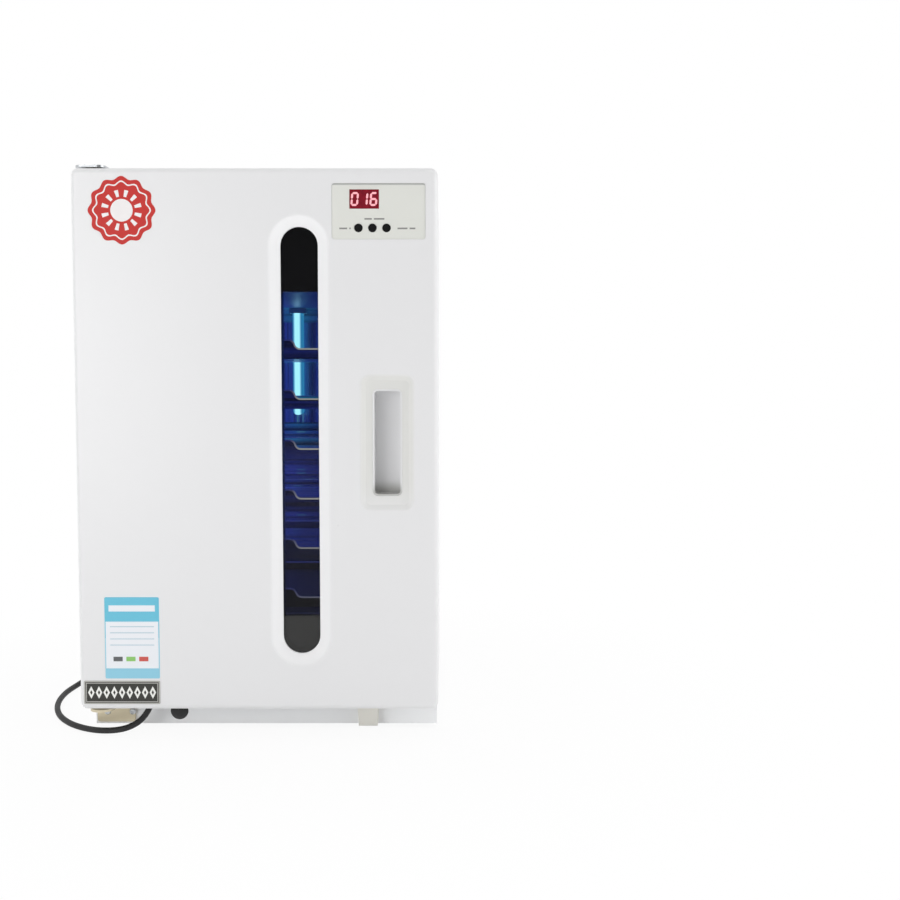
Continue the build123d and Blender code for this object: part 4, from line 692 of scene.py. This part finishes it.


# %% [markdown]
# ## The cable between cabinet and door
#
# A soft lead leaves a grommet low on the cabinet's side, lies on the table in a wide loop and rises
# into the gland under the door. Its route is a NURBS spline over listed points, so it bends like
# a cable and not like wire. The sheath is grown round points read from that spline.

# %% Route of the cable
CABLE_D = 6.0 * MM
CABLE_SIDES = 20
ROUTE_STEPS = 10
REST_Z = 3.2
CABLE_ROUTE = [
    (-174.8, 240.0, 27.0),
    (-193.0, 240.0, 27.0),
    (-213.0, 234.0, 19.0),
    (-231.0, 219.0, 8.5),
    (-241.0, 196.0, REST_Z),
    (-244.0, 166.0, REST_Z),
    (-241.0, 132.0, REST_Z),
    (-232.0, 98.0, REST_Z),
    (-216.0, 65.0, REST_Z),
    (-193.0, 38.0, REST_Z),
    (-165.0, 20.0, REST_Z + 0.6),
    (-140.0, 16.5, REST_Z + 2.4),
    (-124.5, 20.0, REST_Z + 8.0),
    (-116.0, 25.0, REST_Z + 17.0),
    (-114.0, 26.0, 25.7),
]


def place(x, depth, z):
    """A point in metres from millimetres, its depth counted back from the door's face."""
    return Vector((x * MM, FACE_Y + depth * MM, z * MM))


def spline_points(controls):
    """Points along a smooth NURBS line over control points."""
    curve = bpy.data.curves.new("route", "CURVE")
    curve.dimensions = "3D"
    curve.resolution_u = ROUTE_STEPS
    spline = curve.splines.new("NURBS")
    spline.points.add(len(controls) - 1)
    for point, control in zip(spline.points, controls):
        point.co = (*control, 1.0)
    spline.order_u = 3
    spline.use_endpoint_u = True
    holder = link(bpy.data.objects.new("route", curve))
    line = bpy.data.meshes.new_from_object(holder)
    points = [vertex.co.copy() for vertex in line.vertices]
    bpy.data.objects.remove(holder)
    return points


cable_line = spline_points([place(*point) for point in CABLE_ROUTE])


# %% Grow the cable's sheath
def round_bar(name, finish):
    """A recipe that sweeps a circle along the seed's edges."""
    recipe = Recipe(name, Radius="Float", Sides="Int")
    path = recipe.node("GeometryNodeMeshToCurve", inputs={"Mesh": recipe.given["Geometry"]})[0]
    ring = recipe.node(
        "GeometryNodeCurvePrimitiveCircle",
        inputs={"Resolution": recipe.given["Sides"], "Radius": recipe.given["Radius"]},
    )[0]
    bar = recipe.node(
        "GeometryNodeCurveToMesh", inputs={"Curve": path, "Profile Curve": ring, "Fill Caps": True}
    )[0]
    recipe.close(recipe.node("GeometryNodeSetShadeSmooth", inputs={"Geometry": bar})[0], finish)
    return recipe


def chain(count, closed=False):
    """Edges that join points in order."""
    return [(i, (i + 1) % count) for i in range(count if closed else count - 1)]


cable_seed = seed_mesh("cable_seed", cable_line, chain(len(cable_line)))
sheath = round_bar("cable_sheath", black_rubber)
cable = grow("door_cable_sheath", cable_seed, sheath, Radius=CABLE_D / 2, Sides=CABLE_SIDES)
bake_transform(cable)
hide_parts("door_cable")

# %% [markdown]
# ## Screws
#
# The CAD screws are plain pegs. Each real head is a low pan with a cross recess, and all of them
# are alike, so one head is made inside a recipe, with a boolean for the cross, and set on points.
# The points are read from the CAD groups, and each point carries the turn that its screw needs.

# %% Find each screw
def separate_boxes(node):
    """Corners of every separate solid in a group, in a steady order."""
    mesh = bmesh.new()
    mesh.from_mesh(solids[node].data)
    bmesh.ops.remove_doubles(mesh, verts=mesh.verts, dist=0.001 * MM)
    left = set(mesh.verts)
    boxes = []
    while left:
        reached = [left.pop()]
        for vertex in reached:
            for edge in vertex.link_edges:
                other = edge.other_vert(vertex)
                if other in left:
                    left.remove(other)
                    reached.append(other)
        spots = [vertex.co.copy() for vertex in reached]
        boxes.append((Vector(map(min, *spots)), Vector(map(max, *spots))))
    mesh.free()
    return sorted(boxes, key=lambda box: [round(value, 5) for value in (*box[0], *box[1])])


SCREWS = ("hinge_screws", "back_screws", "door_screws")
print("screws", {name: len(separate_boxes(name)) for name in SCREWS})

# %% Grow the screw heads
HEAD_SIDES = 32
TOP_SHARE, FOOT_SHARE = 0.36, 0.5
ARM_SHARE, BAR_SHARE, LIFT_SHARE = 0.56, 0.13, 0.95


def screw_recipe(finish):
    """A recipe that sets a cross-recess pan head on every point, turned by the point's turn."""
    recipe = Recipe("screw_heads", Diameter="Float", Height="Float")
    wide, tall = recipe.given["Diameter"], recipe.given["Height"]

    def times(value, factor):
        return recipe.node("ShaderNodeMath", {"operation": "MULTIPLY"}, {0: value, 1: factor})[0]

    def block(long, across, high):
        size = recipe.node("ShaderNodeCombineXYZ", inputs={0: long, 1: across, 2: high})[0]
        return recipe.node("GeometryNodeMeshCube", inputs={"Size": size})[0]

    pan = recipe.node(
        "GeometryNodeMeshCone",
        inputs={
            "Vertices": HEAD_SIDES,
            "Side Segments": 1,
            "Radius Top": times(wide, TOP_SHARE),
            "Radius Bottom": times(wide, FOOT_SHARE),
            "Depth": tall,
        },
    )[0]
    arm, bar = times(wide, ARM_SHARE), times(wide, BAR_SHARE)
    cross = recipe.node("GeometryNodeJoinGeometry")[0].node
    for limb in (block(arm, bar, tall), block(bar, arm, tall)):
        recipe.tree.links.new(limb, cross.inputs[0])
    lift = recipe.node("ShaderNodeCombineXYZ", inputs={2: times(tall, LIFT_SHARE)})[0]
    lifted = {"Geometry": cross.outputs[0], "Translation": lift}
    cutter = recipe.node("GeometryNodeTransform", inputs=lifted)[0]
    cut = recipe.node(
        "GeometryNodeMeshBoolean",
        {"operation": "DIFFERENCE", "solver": "EXACT"},
        {"Mesh 1": pan, "Mesh 2": cutter, "Self Intersection": True},
    )[0]
    turn = recipe.node(
        "GeometryNodeInputNamedAttribute", {"data_type": "FLOAT_VECTOR"}, {"Name": "turn"}
    )[0]
    heads = recipe.node(
        "GeometryNodeInstanceOnPoints",
        inputs={
            "Points": recipe.given["Geometry"],
            "Instance": cut,
            "Rotation": recipe.node("FunctionNodeEulerToRotation", inputs={"Euler": turn})[0],
        },
    )[0]
    recipe.close(heads, finish)
    return recipe


HEAD_D = 7.0 * MM
HEAD_T = 1.8 * MM
DOOR_HEAD_D = 5.8 * MM
DOOR_HEAD_T = 1.6 * MM
QUARTER = math.pi / 2
TWIST = 0.3
UP, FORWARD, BACKWARD = (0.0, 0.0, TWIST), (QUARTER, TWIST, 0.0), (-QUARTER, TWIST, 0.0)
screw_heads = screw_recipe(bright_zinc)


def head_place(box, height, forward):
    """Foot of a screw's head and its turn, from the corners of its solid."""
    low, high = box
    middle = (low + high) / 2
    if high.z - low.z > high.y - low.y:
        return (middle.x, middle.y, high.z - height), UP
    if forward:
        return (middle.x, low.y + height, middle.z), FORWARD
    return (middle.x, high.y - height, middle.z), BACKWARD


def set_screws(node, body, diameter, height, forward=False):
    """Replace a group of CAD screws by detailed heads."""
    places = [head_place(box, height, forward) for box in separate_boxes(node)]
    seed = seed_mesh(node + "_seed", [spot for spot, turn in places])
    turns = seed.attributes.new("turn", "FLOAT_VECTOR", "POINT")
    turns.data.foreach_set("vector", [value for spot, turn in places for value in turn])
    piece = grow(node + "_heads", seed, screw_heads, Diameter=diameter, Height=height)
    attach(piece, body)
    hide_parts(node)


set_screws("hinge_screws", "cabinet", HEAD_D, HEAD_T, forward=True)
set_screws("back_screws", "cabinet", HEAD_D, HEAD_T)
set_screws("door_screws", "door", DOOR_HEAD_D, DOOR_HEAD_T)

# %% [markdown]
# ## Rolled tray rims
#
# A thin steel pan would cut fingers, so its edge is rolled over a wire. The rim follows the top of
# the wall, round the corners and over the pull lip at the front. The path is worked out from the
# tray's own box, and the same sweep that made the cable gives it its roundness. Where the front run
# passes the window, beside the lip, a pale line of the room's light is painted on it as a highlight,
# and the rest of the rim has a faint blue glow of the lamp painted on.

# %% Path of a rim
TRAY_CORNER = 5.0 * MM
WALL = 1.0 * MM
LIP = 9.0 * MM
LIP_W = 44.0 * MM
LIP_FOOT_W = 68.0 * MM
RIM_RADIUS = 0.9 * MM
RIM_SIDES = 10
RIM_PAINTED_GLOW, RIM_PAINTED_HIGHLIGHT = (0.02, 0.025, 0.15, 1.0), (0.62, 0.62, 0.54, 1.0)
RIM_FOOT_LOSS = 0.8
ARC_STEPS = 8
GLEAM_END = pane_high.x + 25.0 * MM
GLEAM_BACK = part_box("tray_1")[0].y + 3.0 * MM


def corner_arc(centre, radius, start):
    """Quarter circle round a corner's centre, anticlockwise from a start angle."""
    angles = [start + QUARTER * step / ARC_STEPS for step in range(ARC_STEPS + 1)]
    return [(centre[0] + radius * math.cos(a), centre[1] + radius * math.sin(a)) for a in angles]


def round_rectangle(low, high, radius):
    """Outline of a rectangle with round corners, anticlockwise from its lower left."""
    left, bottom = low[0] + radius, low[1] + radius
    right, top = high[0] - radius, high[1] - radius
    corners = [((left, bottom), 2), ((right, bottom), 3), ((right, top), 0), ((left, top), 1)]
    return [point for centre, turn in corners for point in corner_arc(centre, radius, turn * QUARTER)]


def lip_side():
    """Rise of the lip from its foot to its crest, as X and height: two equal arcs that meet."""
    run, rise = (LIP_FOOT_W - LIP_W) / 4, LIP / 2
    radius = (run**2 + rise**2) / (2 * rise)
    angles = [math.asin(run / radius) * step / ARC_STEPS for step in range(ARC_STEPS + 1)]
    lower = [(radius * math.sin(a), radius * (1 - math.cos(a))) for a in angles]
    upper = [(2 * run - x, LIP - z) for x, z in reversed(lower[:-1])]
    return lower + upper


def rim_path(low, high):
    """Points round a tray's top edge, with the lip between the two front corners."""
    inset = Vector((WALL / 2, WALL / 2))
    ring = round_rectangle(low.xy + inset, high.xy - inset, TRAY_CORNER - WALL / 2)
    points = [Vector((x, y, high.z - LIP)) for x, y in ring]
    left = [Vector((x - LIP_FOOT_W / 2, low.y + WALL / 2, high.z - LIP + z)) for x, z in lip_side()]
    right = [Vector((-point.x, point.y, point.z)) for point in reversed(left)]
    return points[: ARC_STEPS + 1] + left + right + points[ARC_STEPS + 1 :]


rim_steel = drawn_metal("rolled_rim_steel", srgb(206, 210, 218), 0.22, (6.0, 900.0, 900.0))
rim_x, rim_y, _ = rim_steel.axes()
past_lip = rim_steel.ramp(rim_x, LIP_W / 2, LIP_FOOT_W / 2)
at_window = past_lip * (1 - rim_steel.ramp(rim_x, pane_high.x, GLEAM_END))
# Painted highlight beside the lip where the front run passes the window; painted blue glow on the rest.
painted_gleam = at_window * (rim_y < GLEAM_BACK) * (1 - RIM_FOOT_LOSS * near_foot(rim_steel) ** 2)
rim_steel.set(Emission_Color=rim_steel.mix(painted_gleam, RIM_PAINTED_GLOW, RIM_PAINTED_HIGHLIGHT))
rim_steel.shader.inputs["Emission Strength"].default_value = 2.0
rim_recipe = round_bar("rolled_rim", rim_steel)
for name in TRAYS:
    rim_points = rim_path(*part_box(name))
    seed = seed_mesh(name + "_rim_seed", rim_points, chain(len(rim_points), closed=True))
    rim = grow(name + "_rim", seed, rim_recipe, Radius=RIM_RADIUS, Sides=RIM_SIDES)
    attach(rim, name)

# %% [markdown]
# ## Sheets on the door
#
# Thin sheets are stuck on the door: a red one at the top, a pale blue card and a dark metal plate
# at the bottom. Each is an outline given a thickness. What is printed on them is drawn by their
# finish, from the distance to the sheet's own middle, so that it stays sharp at any size.

# %% Thin sheets
def on_door_face(name, outlines, front, back, finish):
    """A piece that rides on the door: a flat prism between two depths for each outline in X and Z."""
    mesh = bmesh.new()
    for outline in outlines:
        face = mesh.faces.new([mesh.verts.new((x, front, z)) for x, z in outline])
        pulled = bmesh.ops.extrude_face_region(mesh, geom=[face])["geom"]
        moved = [item for item in pulled if isinstance(item, bmesh.types.BMVert)]
        bmesh.ops.translate(mesh, verts=moved, vec=(0.0, back - front, 0.0))
    bmesh.ops.recalc_face_normals(mesh, faces=mesh.faces)
    data = bpy.data.meshes.new(name)
    mesh.to_mesh(data)
    mesh.free()
    data.materials.append(finish.material)
    piece = link(bpy.data.objects.new(name, data))
    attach(piece, "door")
    print(name, "faces", len(data.polygons))
    return piece


def sheet(name, outline, thickness, finish):
    """A thin sheet stuck on the door's face."""
    on_door_face(name, [outline], FACE_Y - thickness, FACE_Y - STUCK, finish)


def on_door(left, right, down, low):
    """Corners in X and Z from distances, in millimetres, to the door's left edge and top."""
    x0, x1 = door_low.x + left * MM, door_low.x + right * MM
    return (x0, door_high.z - low * MM), (x1, door_high.z - down * MM)


STUCK = 0.02 * MM

# %% The red sheet: a scalloped badge with a plain sun
badge_low, badge_high = on_door(16.7, 81.3, 8.0, 72.6)
BADGE_X = (badge_low[0] + badge_high[0]) / 2
BADGE_Z = (badge_low[1] + badge_high[1]) / 2
BADGE_R = (badge_high[0] - badge_low[0]) / 2
LOBES = 12
LOBE_DEPTH = 0.045
BADGE_STEPS = 144
BADGE_T = 0.25 * MM
RING_AT, RING_HALF = 0.80, 0.022
RAY_AT, RAY_HALF, RAY_WAVE = 0.50, 0.10, 0.35
SUN_R = 0.33
BADGE_RED, BADGE_WHITE = srgb(198, 30, 22), srgb(244, 240, 240)


def badge_outline():
    """A circle whose edge swells into lobes."""
    points = []
    for step in range(BADGE_STEPS):
        angle = 2 * math.pi * step / BADGE_STEPS
        radius = BADGE_R * (1 - LOBE_DEPTH + LOBE_DEPTH * math.cos(LOBES * angle))
        points.append((BADGE_X + radius * math.cos(angle), BADGE_Z + radius * math.sin(angle)))
    return points


badge_print = Finish("red_badge_print", {"Roughness": 0.5})
badge_x, _, badge_z = badge_print.axes()
side, rise = badge_x - BADGE_X, badge_z - BADGE_Z
out = (side * side + rise * rise) ** 0.5 / BADGE_R
angle = badge_print.math("ARCTAN2", rise, side)
edge = out - LOBE_DEPTH * badge_print.math("COSINE", angle * LOBES)
ring_line = abs(edge - RING_AT) < RING_HALF
ray_wave = badge_print.math("COSINE", angle * LOBES + math.pi)
rays = (ray_wave > RAY_WAVE) * (abs(out - RAY_AT) < RAY_HALF)
white_print = badge_print.most(ring_line, rays, out < SUN_R)
badge_print.set(Base_Color=badge_print.mix(white_print, BADGE_RED, BADGE_WHITE))
sheet("red_badge", badge_outline(), BADGE_T, badge_print)

# %% The blue card: a ruled card
card_low, card_high = on_door(25.7, 78.7, 412.0, 492.0)
CARD_T = 0.2 * MM
CARD_CORNER = 1.5 * MM
CARD_BLUE, CARD_PALE = srgb(104, 196, 222), srgb(146, 208, 230)
CARD_WHITE, RULE_BLUE = srgb(240, 243, 248), srgb(172, 200, 214)
SWATCHES = [(8.0, srgb(92, 94, 96)), (20.5, srgb(140, 200, 104)), (33.0, srgb(206, 82, 72))]
SWATCH_W, SWATCH_UP = 9.0, (17.0, 21.5)
FIELD_ACROSS, FIELD_UP = (0.9, 52.1), (10.0, 56.0)
RULES_ACROSS, RULES_UP = (5.0, 48.0), (28.0, 53.0)
RULE_PITCH, RULE_HALF = 6.0, 0.06
BAND_ACROSS, BAND_UP = (4.0, 49.0), (66.0, 72.0)
PALE_BELOW = 40.0
card = Finish("blue_card_print", {"Roughness": 0.36})
card_x, _, card_z = card.axes()
across = (card_x - card_low[0]) / MM
up = (card_z - card_low[1]) / MM
field = within(across, *FIELD_ACROSS) * within(up, *FIELD_UP)
on_rule = abs(card.math("FRACT", up / RULE_PITCH) - 0.5) < RULE_HALF
rules = on_rule * within(across, *RULES_ACROSS) * within(up, *RULES_UP)
band = within(across, *BAND_ACROSS) * within(up, *BAND_UP)
swatch_row = within(up, *SWATCH_UP)
card_colour = card.mix(up > PALE_BELOW, CARD_PALE, CARD_BLUE)
card_colour = card.mix(card.most(field, band), card_colour, CARD_WHITE)
card_colour = card.mix(rules, card_colour, RULE_BLUE)
for start, paint in SWATCHES:
    card_colour = card.mix(swatch_row * within(across, start, start + SWATCH_W), card_colour, paint)
card.set(Base_Color=card_colour)
sheet("blue_card", round_rectangle(card_low, card_high, CARD_CORNER), CARD_T, card)

# %% The dark plate: a double border round a row of lozenges
plate_low, plate_high = on_door(4.5, 78.7, 494.3, 517.2)
PLATE_T = 0.6 * MM
PLATE_CORNER = 1.2 * MM
EDGE_LINE, INNER_LINE = 1.3, (2.0, 2.7)
LINE_RISE = 0.00008
FIELD_METAL, LINE_METAL = 0.25, 0.75
FIELD_DARK, FIELD_PALE = srgb(40, 40, 37), srgb(58, 57, 52)
SILVER_DARK, SILVER_PALE = srgb(150, 149, 145), srgb(196, 195, 190)
LOZENGE_PITCH, LOZENGE_W, LOZENGE_H = 7.5, 3.2, 6.2
LOZENGE_EYE = 0.38
LOZENGE_WHITE = srgb(236, 236, 232)
plate = Finish("dark_plate", {"Roughness": 0.35})
plate_x, _, plate_z = plate.axes()
half_w = (plate_high[0] - plate_low[0]) / 2 / MM
half_h = (plate_high[1] - plate_low[1]) / 2 / MM
from_middle = (plate_x - (plate_low[0] + plate_high[0]) / 2) / MM
from_axis = abs(plate_z - (plate_low[1] + plate_high[1]) / 2) / MM
from_edge = plate.least(half_w - abs(from_middle), half_h - from_axis)
silver = plate.most(from_edge < EDGE_LINE, within(from_edge, *INNER_LINE))
in_row = abs(plate.math("FRACT", from_middle / LOZENGE_PITCH + 0.5) - 0.5) * LOZENGE_PITCH
from_lozenge = in_row / LOZENGE_W + from_axis / LOZENGE_H
lozenge = within(from_lozenge, LOZENGE_EYE, 1.0) * (from_edge > LOZENGE_W)
grain = plate.noise(1.0, detail=3.0, stretch=(30.0, 900.0, 2500.0))
dark_field = plate.mix(grain, FIELD_DARK, FIELD_PALE)
bright_line = plate.mix(grain, SILVER_DARK, SILVER_PALE)
plate_colour = plate.mix(silver, dark_field, bright_line)
plate.set(Base_Color=plate.mix(lozenge, plate_colour, LOZENGE_WHITE))
plate.set(Metallic=FIELD_METAL + (LINE_METAL - FIELD_METAL) * silver)
plate.bump(silver, LINE_RISE)
sheet("dark_plate", round_rectangle(plate_low, plate_high, PLATE_CORNER), PLATE_T, plate)

# %% [markdown]
# ## Display digits
#
# The display shows a plain three-digit reading. A seven-segment digit is seven pointed bars, and a
# string of letters says which ones are lit. The bars lean a little, as such displays do, and stand
# a twentieth of a millimetre proud of the lens.

# %% Digits
display_low, display_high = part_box("display_module")
display_middle = (display_low + display_high) / 2
DIGIT_W, DIGIT_H = 5.4 * MM, 11.2 * MM
DIGIT_PITCH = 9.0 * MM
BAR = 1.9 * MM
BAR_GAP = 0.08 * BAR
LEAN = math.tan(math.radians(5))
PROUD = 0.05 * MM
BAR_T = 0.9 * PROUD
DIGIT_PINK, DIGIT_PALE = (1.0, 0.42, 0.48, 1.0), (1.0, 0.60, 0.64, 1.0)
READING = ["abcdef", "bc", "acdefg"]
BARS = {
    "a": ((0, 2), (1, 2)),
    "b": ((1, 2), (1, 1)),
    "c": ((1, 1), (1, 0)),
    "d": ((0, 0), (1, 0)),
    "e": ((0, 1), (0, 0)),
    "f": ((0, 2), (0, 1)),
    "g": ((0, 1), (1, 1)),
}


def bar_outline(start, end):
    """A bar with pointed ends between two corners of a digit, in X and Z."""
    line = end - start
    way = line.normalized()
    gap = way * BAR_GAP
    near, far = start + gap, end - gap
    point = way * BAR / 2
    side = Vector((-way.y, way.x)) * BAR / 2
    return [near, near + point - side, far - point - side, far, far - point + side, near + point + side]


def digit_bar(column, letter):
    """Outline of one lit bar of the digit in a column, leaning, in X and Z."""
    left = display_middle.x + (column - 1) * DIGIT_PITCH - DIGIT_W / 2
    foot = display_middle.z - DIGIT_H / 2
    ends = [Vector((left + DIGIT_W * i, foot + DIGIT_H * j / 2)) for i, j in BARS[letter]]
    return [(p.x + LEAN * (p.y - display_middle.z), p.y) for p in bar_outline(*ends)]


digit_glow = Finish("digit_glow", {"Roughness": 0.3, "Emission Strength": 1.0})
digit_glow.shader.inputs["Base Color"].default_value = srgb(110, 20, 26)
flicker = digit_glow.noise(900.0)
digit_glow.set(Emission_Color=digit_glow.mix(flicker, DIGIT_PINK, DIGIT_PALE))
lit_bars = [digit_bar(column, letter) for column, lit in enumerate(READING) for letter in lit]
digits_front = display_low.y - PROUD
digits = on_door_face("display_digits", lit_bars, digits_front, digits_front + BAR_T, digit_glow)

# %% [markdown]
# ## Light and floor
#
# The picture is evenly lit on white, a little brighter on the left. A large soft lamp stands at the
# left front, a weaker one at the right, and the world fills in. The world and the floor look white
# to the camera, to mirrors and through glass, while the floor still takes a soft shadow.

# %% Lamps and world
def soft_lamp(name, spot, aim, size, watts):
    """A square soft lamp that looks at a point."""
    data = bpy.data.lights.new(name, "AREA")
    data.size = size
    data.energy = watts
    lamp = link(bpy.data.objects.new(name, data))
    lamp.location = spot
    lamp.rotation_euler = (Vector(aim) - Vector(spot)).to_track_quat("-Z", "Y").to_euler()


AIM = (0.0, 0.0, 0.28)
soft_lamp("left_lamp", (-1.2, -2.1, 0.40), AIM, 1.2, 18.0)
soft_lamp("right_lamp", (2.2, -0.9, 0.6), AIM, 1.4, 14.0)
WORLD_LIGHT = 0.94
FRONT_DIM = 0.80
DIM_FROM, DIM_FULL = 0.25, 0.85
WHITE = (1.0, 1.0, 1.0, 1.0)


def seen_directly(graph):
    """Two masks of the rays that see the backdrop: camera and clear rays, and mirrored ones."""
    rays = graph.node("ShaderNodeLightPath").socket.node.outputs
    camera_ray = Value(graph, rays["Is Camera Ray"])
    clear_ray = Value(graph, rays["Is Transmission Ray"])
    return graph.most(camera_ray, clear_ray), Value(graph, rays["Is Glossy Ray"])


world = bpy.data.worlds.new("white_room")
bpy.context.scene.world = world
world.use_nodes = True
room = Graph(world.node_tree, "Generated")
seen, mirrored = seen_directly(room)
towards_front = -1 * room.axes()[1]
dim = 1 - FRONT_DIM * room.ramp(towards_front, DIM_FROM, DIM_FULL)
plain = WORLD_LIGHT + (1 - WORLD_LIGHT) * mirrored
background = world.node_tree.nodes["Background"]
background.inputs["Color"].default_value = WHITE
room.feed(background.inputs["Strength"], seen + (1 - seen) * plain * dim)
print("world light", WORLD_LIGHT)

# %% Floor
FLOOR_HALF = 6.0
FLOOR_WHITE = (0.93, 0.93, 0.93, 1.0)
NEAR_GLOW_SHARE = 0.93
SHADOW_FULL, SHADOW_ENDS = 0.20, 0.65
floor_mesh = bpy.data.meshes.new("floor")
corners = [(-1, -1), (1, -1), (1, 1), (-1, 1)]
floor_points = [(FLOOR_HALF * x, FLOOR_HALF * y, 0.0) for x, y in corners]
floor_mesh.from_pydata(floor_points, [], [(0, 1, 2, 3)])
floor = link(bpy.data.objects.new("floor", floor_mesh))
floor_paint = Finish("white_floor", {"Base Color": FLOOR_WHITE, "Roughness": 0.9})
floor_seen, floor_mirrored = seen_directly(floor_paint)
floor_x, floor_y, _ = floor_paint.axes()
away = (floor_x * floor_x + floor_y * floor_y) ** 0.5
clear = NEAR_GLOW_SHARE + (1 - NEAR_GLOW_SHARE) * floor_paint.ramp(away, SHADOW_FULL, SHADOW_ENDS)
glow = floor_paint.node("ShaderNodeEmission", inputs={"Color": WHITE, "Strength": 1.0})
lit = Value(floor_paint, floor_paint.shader.outputs[0])
share = floor_paint.most(floor_seen, floor_mirrored) * clear
mixed = floor_paint.node("ShaderNodeMixShader", inputs={0: share, 1: lit, 2: glow})
floor_paint.tree.links.new(mixed.socket, floor_paint.tree.nodes["Material Output"].inputs["Surface"])
floor_mesh.materials.append(floor_paint.material)
print("floor", 2 * FLOOR_HALF, "m across")
